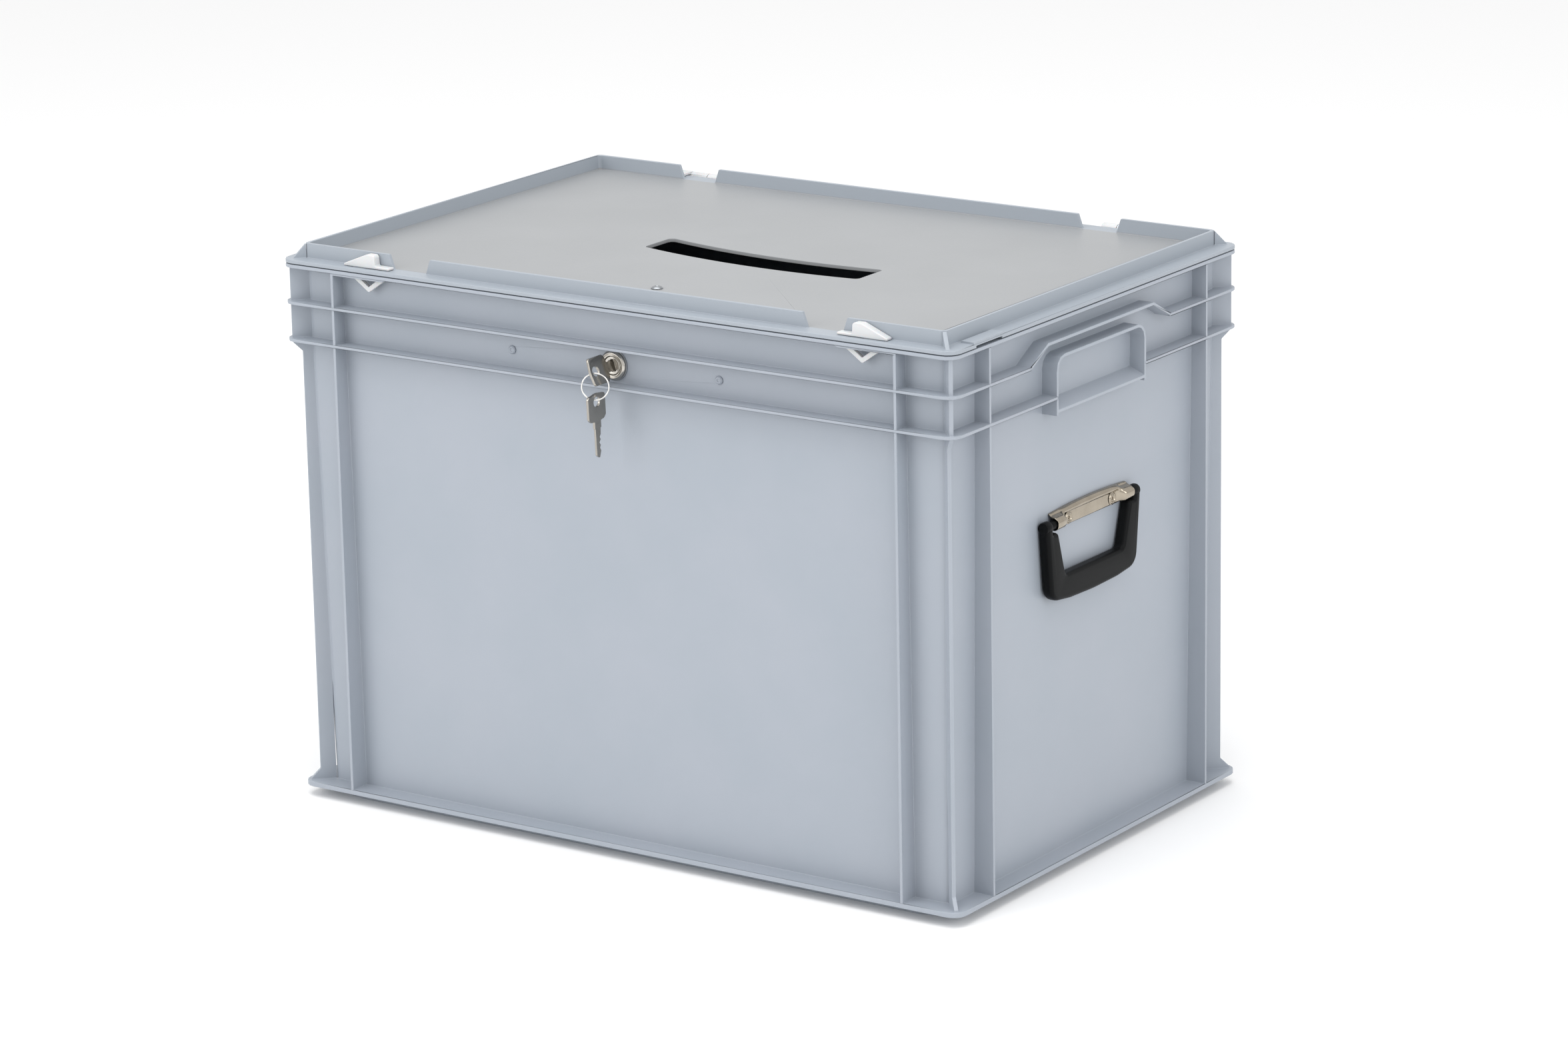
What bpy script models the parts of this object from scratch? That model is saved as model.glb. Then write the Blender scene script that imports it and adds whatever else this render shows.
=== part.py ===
"""Lockable collection box: a stacking container with a hinged, slotted lid.

The container stands on Z = 0 with its middle at the origin, its long side along X and its lock
on the side that faces -Y. Lengths are in metres.
"""

import math

import bmesh
import bpy
from mathutils import Matrix, Vector

MM = 0.001

# Gaps left between pieces
SEAT_GAP = 0.3 * MM
RUN_GAP = 0.25 * MM
HOLE_GAP = 0.4 * MM

# Container
LENGTH = 600 * MM
WIDTH = 400 * MM
RIM_TOP = 420.4 * MM
RIM_THICKNESS = 2.7 * MM
CORNER_RADIUS = 10.5 * MM
WALL = 2.5 * MM
WALL_INSET_TOP = 12.5 * MM
WALL_INSET_BOTTOM = 17 * MM
WALL_RADIUS = 8 * MM
FLOOR = 3 * MM
FOOT_HEIGHT = 8.2 * MM
FOOT_INSET_X = 18 * MM
FOOT_INSET_Y = 16 * MM
FOOT_RADIUS = 28 * MM
FLANGE_THICKNESS = 3.9 * MM
APRON_DROP = 1.4 * MM
APRON_THICKNESS = 2.6 * MM
APRON_FROM_END = 97 * MM
APRON_SLOPE = 4 * MM

# Ribs and fins outside the container wall
RIB_THICKNESS = 2.3 * MM
UPPER_RIB_DROP = 29.9 * MM
LOWER_RIB_DROP = 58.8 * MM
FIN_THICKNESS = 2.3 * MM
FIN_FROM_CORNER = 48.8 * MM
FIN_STEP_BACK = 0.3 * MM
CORNER_FIN_THICKNESS = 3 * MM
CORNER_FIN_REACH = 7 * MM
CORNER_COLUMN_REACH = 14.4 * MM

# Moulded hand grip in each end wall
GRIP_RIB_RISE = 12.9 * MM
GRIP_RIB_FLAT = 73.5 * MM
GRIP_RIB_FOOT = 97.3 * MM
GRIP_LEG = 61.2 * MM
GRIP_TOP_DROP = 29.3 * MM
GRIP_LEG_BOTTOM_DROP = 72 * MM
GRIP_RADIUS = 10 * MM
SHELF_ROOT_DROP = 63.5 * MM
SHELF_LIP_DROP = 69 * MM

# Lid
LID_GAP = 0.8 * MM
LID_THICKNESS = 2.9 * MM
FRAME_INSET_X = 14 * MM
FRAME_INSET_Y = 12 * MM
FRAME_HEIGHT = 11.2 * MM
FRAME_WALL = 2.5 * MM
FRAME_RADIUS = 4 * MM
GAP_FROM_END = 129.6 * MM
GAP_WIDTH = 30.2 * MM
GAP_SLOPE = 4.4 * MM
SKIRT_DEPTH = 7 * MM
SKIRT_WALL = 2 * MM
SKIRT_CLEARANCE = 1 * MM
LIP_START = 28 * MM
LIP_LENGTH = 40 * MM
LIP_RISE = 1.5 * MM
LIP_DEPTH = 11 * MM
LID_FIN_REACH = 10 * MM

# Ballot slot: a band of an arc whose ends run along Y
SLOT_LEFT = -84 * MM
SLOT_RIGHT = 116.5 * MM
SLOT_ARC_X = 45 * MM
SLOT_NEAR = -47 * MM
SLOT_BAND = 35.3 * MM
SLOT_RADIUS = 520 * MM
SLOT_CORNER = 4 * MM

# Sliding snap latches
LATCH_FROM_END = 79.5 * MM
LATCH_FRONT = 4.8 * MM
LATCH_DEPTH = 6.7 * MM
LATCH_TRAVEL = 15 * MM
LOOP_FRONT = 5.8 * MM
LOOP_DEPTH = 3.6 * MM
LOOP_HALF = 15.5 * MM
LOOP_DROP = 14.5 * MM
LOOP_STRIP = 3.4 * MM
NECK_FROM = 2 * MM
NECK_TO = 14 * MM

# Hinges
HINGE_FROM_END = 91 * MM
HINGE_WIDTH = 64 * MM
HINGE_OUT = 6.5 * MM
HINGE_RISE = 0.4 * MM
KNUCKLE_RADIUS = 5 * MM
KNUCKLE_LENGTH = 13 * MM
PIN_RADIUS = 2 * MM
LEAF_THICKNESS = 2 * MM

# Cam lock
LOCK_DROP = 44.4 * MM
PLUG_RADIUS = 7 * MM
BARREL_WALL = 2.15 * MM
BARREL_LENGTH = 22 * MM
STEM_RADIUS = 3 * MM
COLLAR_LIP = 1.6 * MM
COLLAR_THICKNESS = 2.6 * MM
LOCK_WASHER = 0.8 * MM
WASHER_LIP = 0.6 * MM
NUT_WALL = 1.6 * MM
NUT_THICKNESS = 4 * MM
CAM_REACH = 25.4 * MM
CAM_WIDTH = 9 * MM
CAM_THICKNESS = 2 * MM
KEY_TURN = math.radians(20)

# Keys and ring
BOW_LENGTH = 20.6 * MM
BOW_HALF = 10.4 * MM
KEY_THICKNESS = 2 * MM
SHANK_LENGTH = 6 * MM
SHANK_HALF = 4.2 * MM
BLADE_HALF = 3.3 * MM
BLADE_LENGTH = 22 * MM
KEY_CORNER = 2.8 * MM
KEY_HOLE_RADIUS = 4 * MM
KEY_HOLE_FROM_END = 6.5 * MM
RING_RADIUS = 9.9 * MM
RING_WIRE = 0.55 * MM
RING_HANG = 1.3 * MM
RING_YAW = math.radians(34.5)
SPARE_TILT = math.radians(3)

# Keeper under the lid
KEEPER_X = 26 * MM
KEEPER_SHEET = 2 * MM
KEEPER_SCREW_X = 6 * MM
KEEPER_SCREW_BACK = 24.2 * MM
KEEPER_DEPTH = 21 * MM
KEEPER_BELOW_LOCK = 10 * MM
WINDOW_HALF = 5.5 * MM

# Stiffener behind the lock
STIFFENER_HALF = 108 * MM
STIFFENER_HEIGHT = 24 * MM
STIFFENER_SHEET = 2 * MM
WALL_SCREW_X = 92.7 * MM
WALL_SCREW_HEAD = 3.2 * MM
SCREW_RADIUS = 1.9 * MM
SMALL_NUT_ACROSS = 7 * MM
SMALL_NUT = 3.2 * MM

# Carrying handles on the end walls
HANDLE_DROP = 156.1 * MM
PLATE_HALF = 53.5 * MM
PLATE_BAND_HALF = 42.5 * MM
PLATE_SHEET = 1.2 * MM
PLATE_STAND = 3.5 * MM
PLATE_BELOW = 5.4 * MM
PLATE_ABOVE = 9.6 * MM
STUB_RADIUS = 3.2 * MM
RIVET_Y = 30.6 * MM
RIVET_HEAD = 4.9 * MM
RIVET_SHANK = 2 * MM
RIVET_BORE = 0.9 * MM
BACKING_SHEET = 2 * MM
GRIP_SHIFT = 3.2 * MM
GRIP_WALL = 1.6 * MM
GRIP_OUTER_TOP = 65.5 * MM
GRIP_OUTER_LOW = 59.5 * MM
GRIP_PLAY = 3.6 * MM
GRIP_INNER_STEP = 50 * MM
GRIP_INNER_LOW = 40.2 * MM
GRIP_DROP_INNER = 38.8 * MM
GRIP_DROP_CORNER = 55.5 * MM
GRIP_DROP_OUTER = 59.5 * MM
GRIP_EDGE = 2.6 * MM

# Levels worked out from the sizes above
FLANGE_TOP = FOOT_HEIGHT + FLANGE_THICKNESS
UPPER_RIB = RIM_TOP - UPPER_RIB_DROP
LOWER_RIB = RIM_TOP - LOWER_RIB_DROP
LID_BOTTOM = RIM_TOP + LID_GAP
LID_TOP = LID_BOTTOM + LID_THICKNESS
FRAME_TOP = LID_TOP + FRAME_HEIGHT
HALF_X = LENGTH / 2
HALF_Y = WIDTH / 2
HINGE_X = HALF_X - HINGE_FROM_END
HINGE_Y = HALF_Y + HINGE_OUT
HINGE_Z = RIM_TOP + HINGE_RISE
LATCH_X = HALF_X - LATCH_FROM_END
APRON_INNER = HALF_X - APRON_FROM_END
GAP_INNER = HALF_X - GAP_FROM_END
LOCK_Z = RIM_TOP - LOCK_DROP
BARREL_RADIUS = PLUG_RADIUS + RUN_GAP + BARREL_WALL
COLLAR_RADIUS = BARREL_RADIUS + COLLAR_LIP
NUT_ACROSS = 2 * (BARREL_RADIUS + NUT_WALL)
GRIP_HALF_DEPTH = STUB_RADIUS + GRIP_WALL
HANDLE_OUT = GRIP_HALF_DEPTH + SEAT_GAP
HANDLE_Z = RIM_TOP - HANDLE_DROP
PAST = 3 * MM

SIDES = {"left": -1, "right": 1}
VIEWS = {
    "top": ((1, 0, 0), (0, 1, 0), (0, 0, 1)),
    "front": ((1, 0, 0), (0, 0, 1), (0, -1, 0)),
    "side": ((0, 1, 0), (0, 0, 1), (1, 0, 0)),
}


# ---------------------------------------------------------------- scene and materials


def clear_scene():
    for old in list(bpy.data.objects):
        bpy.data.objects.remove(old, do_unlink=True)


def new_collection(name, parent=None):
    made = bpy.data.collections.new(name)
    (parent or bpy.context.scene.collection).children.link(made)
    return made


clear_scene()
PARTS = new_collection("collection_box")
TOOLS = new_collection("cutters")


def material(name, colour, roughness, metallic=0.0):
    made = bpy.data.materials.new(name)
    made.use_nodes = True
    shader = made.node_tree.nodes["Principled BSDF"]
    shader.inputs["Base Color"].default_value = (*colour, 1.0)
    shader.inputs["Roughness"].default_value = roughness
    shader.inputs["Metallic"].default_value = metallic
    return made


POLYPROPYLENE = material("container_plastic", (0.42, 0.47, 0.54), 0.45)
LID_PLASTIC = material("lid_plastic", (0.47, 0.49, 0.51), 0.45)
WHITE_PLASTIC = material("white_plastic", (0.86, 0.86, 0.85), 0.4)
BLACK_PLASTIC = material("black_plastic", (0.03, 0.03, 0.03), 0.5)
NICKEL = material("nickel", (0.62, 0.58, 0.52), 0.25, 1.0)
STEEL = material("zinc_steel", (0.6, 0.6, 0.6), 0.35, 1.0)


# ---------------------------------------------------------------- building blocks


def add_object(name, bm, look=None):
    """Make a mesh object from bm: a part if it has a look, or else a hidden tool."""
    bmesh.ops.recalc_face_normals(bm, faces=bm.faces)
    mesh = bpy.data.meshes.new(name)
    bm.to_mesh(mesh)
    bm.free()
    made = bpy.data.objects.new(name, mesh)
    if look is None:
        TOOLS.objects.link(made)
        made.hide_render = True
        made.display_type = "WIRE"
    else:
        PARTS.objects.link(made)
        mesh.materials.append(look)
    return made


def box(name, low, high, look=None):
    bm = bmesh.new()
    bmesh.ops.create_cube(bm, size=1.0)
    middle = (Vector(low) + Vector(high)) / 2
    size = Vector(high) - Vector(low)
    bmesh.ops.scale(bm, vec=size, verts=bm.verts)
    bmesh.ops.translate(bm, vec=middle, verts=bm.verts)
    return add_object(name, bm, look)


def rounded_block(name, low_half, high_half, z_low, z_high, radius, look=None, segments=4):
    """Upright block with rounded corners, which may taper from its foot to its top."""
    bm = bmesh.new()
    bmesh.ops.create_cube(bm, size=1.0)
    for vertex in bm.verts:
        half, z = (low_half, z_low) if vertex.co.z < 0 else (high_half, z_high)
        x = math.copysign(half[0], vertex.co.x)
        y = math.copysign(half[1], vertex.co.y)
        vertex.co = (x, y, z)
    upright = [e for e in bm.edges if abs(e.verts[0].co.z - e.verts[1].co.z) > z_high - z_low - 1e-6]
    bmesh.ops.bevel(bm, geom=upright, offset=radius, segments=segments, profile=0.5, affect="EDGES")
    return add_object(name, bm, look)


def rounded(corners, segments=3):
    """Outline through corners of (x, y) or (x, y, radius), with an arc at each radius."""
    points = []
    count = len(corners)
    for index, corner in enumerate(corners):
        here = Vector(corner[:2])
        if len(corner) < 3:
            points.append(tuple(here))
            continue
        back = (Vector(corners[index - 1][:2]) - here).normalized()
        ahead = (Vector(corners[(index + 1) % count][:2]) - here).normalized()
        half_angle = back.angle(ahead) / 2
        reach = corner[2] / math.tan(half_angle)
        start = here + back * reach
        centre = here + (back + ahead).normalized() * corner[2] / math.sin(half_angle)
        arm = start - centre
        turn = (math.pi - 2 * half_angle) * math.copysign(1, back.cross(ahead))
        for step in range(segments + 1):
            spin = Matrix.Rotation(-turn * step / segments, 2)
            points.append(tuple(centre + spin @ arm))
    return points


def strip(path, width):
    """Outline of a band of one width along an open path, mitred at its corners."""
    sides = ([], [])
    for index, point in enumerate(path):
        here = Vector(point)
        before = (here - Vector(path[index - 1])).normalized() if index else None
        after = (Vector(path[index + 1]) - here).normalized() if index + 1 < len(path) else None
        along = ((before or after) + (after or before)).normalized()
        across = Vector((-along.y, along.x))
        reach = width / 2 / (along.dot(after or before))
        sides[0].append(tuple(here + across * reach))
        sides[1].append(tuple(here - across * reach))
    return sides[0] + sides[1][::-1]


def prism(name, outline, view, low, high, look=None, holes=()):
    """Outline drawn in a view and extruded square to it, from low to high along X, Y or Z."""
    curve = bpy.data.curves.new(name, "CURVE")
    curve.dimensions = "2D"
    curve.fill_mode = "BOTH"
    curve.extrude = (high - low) / 2
    for loop in (outline, *holes):
        spline = curve.splines.new("POLY")
        spline.points.add(len(loop) - 1)
        for point, (x, y) in zip(spline.points, loop):
            point.co = (x, y, 0, 1)
        spline.use_cyclic_u = True
    guide = bpy.data.objects.new(name + "_outline", curve)
    TOOLS.objects.link(guide)
    graph = bpy.context.evaluated_depsgraph_get()
    mesh = bpy.data.meshes.new_from_object(guide.evaluated_get(graph))
    bpy.data.objects.remove(guide, do_unlink=True)
    axes = VIEWS[view]
    middle = Vector(axes[2]) * (low + high) / 2
    if view == "front":
        middle = -middle
    turn = Matrix(axes).transposed().to_4x4()
    bm = bmesh.new()
    bm.from_mesh(mesh)
    bmesh.ops.remove_doubles(bm, verts=bm.verts, dist=1e-6)
    bmesh.ops.transform(bm, matrix=Matrix.Translation(middle) @ turn, verts=bm.verts)
    return add_object(name, bm, look)


def along(start, end):
    """Matrix that lays local Z from start towards end, with its origin at start."""
    direction = Vector(end) - Vector(start)
    turn = Vector((0, 0, 1)).rotation_difference(direction).to_matrix().to_4x4()
    return Matrix.Translation(start) @ turn


def rod(name, start, end, radius, look=None, sides=20):
    bm = bmesh.new()
    depth = (Vector(end) - Vector(start)).length
    bmesh.ops.create_cone(
        bm, cap_ends=True, segments=sides, radius1=radius, radius2=radius, depth=depth
    )
    bmesh.ops.translate(bm, vec=(0, 0, depth / 2), verts=bm.verts)
    bmesh.ops.transform(bm, matrix=along(start, end), verts=bm.verts)
    return add_object(name, bm, look)


def turned(name, profile, start, end, look=None, closed=False, steps=24):
    """Turn (radius, height) points, outer side first from top to bottom, about start to end."""
    bm = bmesh.new()
    points = [bm.verts.new((radius, 0, height)) for radius, height in profile]
    for first, second in zip(points, points[1:] + (points[:1] if closed else [])):
        bm.edges.new((first, second))
    made = add_object(name, bm, look)
    screw = made.modifiers.new("turn", "SCREW")
    screw.steps = steps
    screw.render_steps = steps
    screw.use_merge_vertices = True
    screw.merge_threshold = 1e-6
    made.matrix_world = along(start, end)
    made.data.shade_smooth()
    return made


def combine(target, operation, tools, name):
    """Join the tools to the target, or cut them from it, with one exact Boolean."""
    group = new_collection(f"{target.name}_{name}", TOOLS)
    for tool in tools:
        group.objects.link(tool)
        TOOLS.objects.unlink(tool)
    modifier = target.modifiers.new(name, "BOOLEAN")
    modifier.operation = operation
    modifier.operand_type = "COLLECTION"
    modifier.collection = group
    modifier.solver = "EXACT"


def move_origin(made, point):
    """Put an object's origin at a point without moving its shape."""
    made.data.transform(Matrix.Translation(-Vector(point)))
    made.matrix_world = Matrix.Translation(point)


def half_turn(made, side):
    """Turn an object built for the right end round to the left end."""
    if side < 0:
        made.matrix_world = Matrix.Rotation(math.pi, 4, "Z") @ made.matrix_world
    return made


def wall_inset(z):
    share = (z - FLANGE_TOP) / (RIM_TOP - FLANGE_TOP)
    return WALL_INSET_BOTTOM + (WALL_INSET_TOP - WALL_INSET_BOTTOM) * share


def wall_half(z, inwards=0.0):
    inset = wall_inset(z) + inwards
    return HALF_X - inset, HALF_Y - inset


# ---------------------------------------------------------------- container


def rib_pair(name, z, stop):
    """Front and back rib, each running round two corners as far as the end wall's grip."""
    made = []
    for side in (-1, 1):
        corners = [
            (HALF_X, side * stop),
            (HALF_X, side * HALF_Y, CORNER_RADIUS),
            (-HALF_X, side * HALF_Y, CORNER_RADIUS),
            (-HALF_X, side * stop),
        ]
        low = z - RIB_THICKNESS / 2
        made.append(prism(f"{name}_{side}", rounded(corners), "top", low, low + RIB_THICKNESS))
    return made


def grip_shapes():
    """Raised rib, upside-down U and sloping shelf of the hand grips in both end walls."""
    reach = HALF_X - FIN_STEP_BACK / 2
    raised = UPPER_RIB + GRIP_RIB_RISE
    half_path = [(GRIP_RIB_FOOT + PAST, UPPER_RIB), (GRIP_RIB_FOOT, UPPER_RIB), (GRIP_RIB_FLAT, raised)]
    path = half_path + [(-y, z) for y, z in reversed(half_path)]
    made = [prism("grip_rib", strip(path, RIB_THICKNESS), "side", -reach, reach)]

    top = RIM_TOP - GRIP_TOP_DROP
    low = RIM_TOP - GRIP_LEG_BOTTOM_DROP
    corners = [
        (GRIP_LEG, low),
        (GRIP_LEG, top, GRIP_RADIUS),
        (-GRIP_LEG, top, GRIP_RADIUS),
        (-GRIP_LEG, low),
    ]
    path = rounded(corners)
    made.append(prism("grip_arch", strip(path, RIB_THICKNESS), "side", -reach, reach))

    root = RIM_TOP - SHELF_ROOT_DROP
    lip = RIM_TOP - SHELF_LIP_DROP
    for side in (-1, 1):
        slope = [
            (side * (HALF_X - WALL_INSET_BOTTOM), root + RIB_THICKNESS),
            (side * (HALF_X - WALL_INSET_BOTTOM), root),
            (side * reach, lip - RIB_THICKNESS / 2),
            (side * reach, lip + RIB_THICKNESS / 2),
        ]
        made.append(prism(f"grip_shelf_{side}", slope, "front", -GRIP_LEG, GRIP_LEG))
    return made


def corner_fins():
    """Diagonal fin at each corner: full between rim and lower rib, a column below it."""
    inner = CORNER_COLUMN_REACH + 12 * MM
    gusset = CORNER_COLUMN_REACH - CORNER_FIN_REACH
    profile = [
        (inner, FLANGE_TOP - MM),
        (CORNER_FIN_REACH, FLANGE_TOP - MM),
        (CORNER_FIN_REACH, FLANGE_TOP + MM),
        (CORNER_COLUMN_REACH, FLANGE_TOP + MM + gusset),
        (CORNER_COLUMN_REACH, LOWER_RIB - RIB_THICKNESS - gusset),
        (CORNER_FIN_REACH, LOWER_RIB - RIB_THICKNESS),
        (CORNER_FIN_REACH, RIM_TOP - MM),
        (inner, RIM_TOP - MM),
    ]
    made = []
    half = CORNER_FIN_THICKNESS / 2
    for index, (x, y) in enumerate(((1, 1), (-1, 1), (-1, -1), (1, -1))):
        fin = prism(f"corner_fin_{index}", profile, "front", -half, half)
        heading = math.atan2(-y, -x)
        place = Matrix.Translation((x * HALF_X, y * HALF_Y, 0)) @ Matrix.Rotation(heading, 4, "Z")
        fin.data.transform(place)
        made.append(fin)
    return made


def rim_slots():
    """Slots that the latch loops and the hinge clips pass through."""
    front = HALF_Y - LOOP_FRONT + MM
    back = HALF_Y - LOOP_FRONT - LOOP_DEPTH - MM
    inner = LATCH_X - LOOP_HALF - LATCH_TRAVEL - MM
    outer = LATCH_X + LOOP_HALF + MM
    low = RIM_TOP - RIM_THICKNESS - PAST
    made = []
    for x in (-1, 1):
        for y in (-1, 1):
            near, far = sorted((x * inner, x * outer))
            left, right = sorted((y * back, y * front))
            made.append(box(f"rim_slot_{x}_{y}", (near, left, low), (far, right, RIM_TOP + PAST)))
    return made


def container():
    """The moulded tub: wall, floor, foot, flange, rim, ribs, fins and hand grips."""
    wall_low = FOOT_HEIGHT + MM
    wall_high = RIM_TOP - MM
    low_half, high_half = wall_half(wall_low), wall_half(wall_high)
    tub = rounded_block(
        "container_body", low_half, high_half, wall_low, wall_high, WALL_RADIUS, POLYPROPYLENE
    )
    outline = (HALF_X, HALF_Y)
    foot = (HALF_X - FOOT_INSET_X, HALF_Y - FOOT_INSET_Y)
    adds = [
        rounded_block("rim", outline, outline, RIM_TOP - RIM_THICKNESS, RIM_TOP, CORNER_RADIUS),
        rounded_block("flange", outline, outline, FOOT_HEIGHT, FLANGE_TOP, CORNER_RADIUS),
        rounded_block("foot", foot, foot, 0, FOOT_HEIGHT + MM, FOOT_RADIUS),
    ]
    adds += rib_pair("lower_rib", LOWER_RIB, GRIP_LEG)
    adds += rib_pair("upper_rib", UPPER_RIB, GRIP_RIB_FOOT)
    adds += grip_shapes() + corner_fins()
    fin_x = HALF_X - FIN_FROM_CORNER + FIN_THICKNESS / 2
    fin_y = HALF_Y - FIN_FROM_CORNER + FIN_THICKNESS / 2
    low, high = FLANGE_TOP - MM, RIM_TOP - MM
    for side in (-1, 1):
        near, far = sorted((side * fin_x, side * (fin_x - FIN_THICKNESS)))
        reach = HALF_Y - FIN_STEP_BACK
        adds.append(box(f"front_fin_{side}", (near, -reach, low), (far, reach, high)))
        near, far = sorted((side * fin_y, side * (fin_y - FIN_THICKNESS)))
        reach = HALF_X - FIN_STEP_BACK
        adds.append(box(f"end_fin_{side}", (-reach, near, low), (reach, far, high)))
        apron_low = RIM_TOP - RIM_THICKNESS - APRON_DROP
        apron = [
            (side * (APRON_INNER - APRON_SLOPE), RIM_TOP - RIM_THICKNESS / 2),
            (side * APRON_INNER, apron_low),
            (side * fin_x, apron_low),
            (side * fin_x, RIM_TOP - RIM_THICKNESS / 2),
        ]
        front = -HALF_Y + FIN_STEP_BACK
        adds.append(prism(f"apron_{side}", apron, "front", front, front + APRON_THICKNESS))
    combine(tub, "UNION", adds, "add")

    high = RIM_TOP + PAST
    low = FOOT_HEIGHT + MM
    foot_inner = (foot[0] - WALL, foot[1] - WALL)
    cuts = [
        rounded_block("cavity", wall_half(low, WALL), wall_half(high, WALL), low, high, WALL_RADIUS - WALL),
        rounded_block("foot_cavity", foot_inner, foot_inner, FLOOR, low + MM, FOOT_RADIUS - WALL),
        rod("lock_hole", (0, -HALF_Y, LOCK_Z), (0, -HALF_Y + 30 * MM, LOCK_Z), BARREL_RADIUS + SEAT_GAP),
    ]
    cuts += rim_slots()
    for side in (-1, 1):
        start = (side * WALL_SCREW_X, -HALF_Y, LOCK_Z)
        end = (side * WALL_SCREW_X, -HALF_Y + 30 * MM, LOCK_Z)
        cuts.append(rod(f"wall_screw_hole_{side}", start, end, SCREW_RADIUS + HOLE_GAP, sides=12))
        for y in (-RIVET_Y, RIVET_Y):
            start = (side * (HALF_X - 30 * MM), y, HANDLE_Z)
            end = (side * HALF_X, y, HANDLE_Z)
            cuts.append(rod(f"rivet_hole_{side}_{y > 0}", start, end, RIVET_SHANK + HOLE_GAP, sides=12))
    combine(tub, "DIFFERENCE", cuts, "cut")
    return tub


# ---------------------------------------------------------------- lid


def stacking_frame():
    """Upright wall on the lid, open beside each latch and each hinge."""
    outer = (HALF_X - FRAME_INSET_X, HALF_Y - FRAME_INSET_Y)
    inner = (outer[0] - FRAME_WALL, outer[1] - FRAME_WALL)
    low = LID_TOP - MM
    frame = rounded_block("frame_wall", outer, outer, low, FRAME_TOP, FRAME_RADIUS)
    cuts = [rounded_block("frame_inside", inner, inner, low - MM, FRAME_TOP + MM, FRAME_RADIUS - MM)]
    for side in (-1, 1):
        gap = [
            (side * GAP_INNER, LID_TOP),
            (side * (GAP_INNER + GAP_WIDTH), LID_TOP),
            (side * (GAP_INNER + GAP_WIDTH + GAP_SLOPE), FRAME_TOP + MM),
            (side * (GAP_INNER - GAP_SLOPE), FRAME_TOP + MM),
        ]
        cuts.append(prism(f"frame_gap_{side}", gap, "front", -HALF_Y, HALF_Y))
    combine(frame, "DIFFERENCE", cuts, "cut")
    return frame


def lid_skirt():
    """Ring under the lid that drops inside the container's mouth."""
    outer = wall_half(RIM_TOP, WALL + SKIRT_CLEARANCE)
    inner = (outer[0] - SKIRT_WALL, outer[1] - SKIRT_WALL)
    low = LID_BOTTOM - SKIRT_DEPTH
    high = LID_BOTTOM + MM
    ring = rounded_block("skirt", outer, outer, low, high, WALL_RADIUS - WALL)
    inside = rounded_block("skirt_inside", inner, inner, low - MM, high + MM, WALL_RADIUS - WALL - MM)
    combine(ring, "DIFFERENCE", [inside], "cut")
    return ring


def lid_corner_fins():
    frame_x = HALF_X - FRAME_INSET_X - MM
    frame_y = HALF_Y - FRAME_INSET_Y - MM
    profile = [(0, LID_TOP - MM), (LID_FIN_REACH + MM, LID_TOP - MM), (0, FRAME_TOP - SEAT_GAP)]
    half = CORNER_FIN_THICKNESS / 2
    made = []
    for index, (x, y) in enumerate(((1, 1), (-1, 1), (-1, -1), (1, -1))):
        fin = prism(f"lid_fin_{index}", profile, "front", -half, half)
        heading = Matrix.Rotation(math.atan2(y, x), 4, "Z")
        place = Matrix.Translation((x * frame_x, y * frame_y, 0)) @ heading
        fin.data.transform(place)
        made.append(fin)
    return made


def ballot_slot():
    """Cutter for the curved slot: a band between two arcs, with rounded corners and ends along Y."""
    steps = 12
    near = []
    for step in range(steps + 1):
        x = SLOT_LEFT + (SLOT_RIGHT - SLOT_LEFT) * step / steps
        sag = SLOT_RADIUS - math.sqrt(SLOT_RADIUS**2 - (x - SLOT_ARC_X) ** 2)
        near.append((x, SLOT_NEAR + sag))
    far = [(x, y + SLOT_BAND) for x, y in reversed(near)]
    corners = near + far
    for index in (0, steps, steps + 1, -1):
        corners[index] = (*corners[index], SLOT_CORNER)
    return prism("ballot_slot", rounded(corners), "top", LID_BOTTOM - PAST, LID_TOP + PAST)


def neck_slots():
    """Slots in the lid's edge for the latch necks at the front and the hinge lugs at the back."""
    near = HALF_Y - LOOP_FRONT - LOOP_DEPTH - RUN_GAP * 2
    far = HALF_Y - LOOP_FRONT + RUN_GAP * 2
    inner = LATCH_X + NECK_FROM - LATCH_TRAVEL - SEAT_GAP
    outer = LATCH_X + NECK_TO + SEAT_GAP
    made = []
    for x in (-1, 1):
        for y in (-1, 1):
            left, right = sorted((x * inner, x * outer))
            front, back = sorted((y * near, y * far))
            low, high = LID_BOTTOM - PAST, LID_TOP + PAST
            made.append(box(f"neck_slot_{x}_{y}", (left, front, low), (right, back, high)))
    return made


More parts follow.
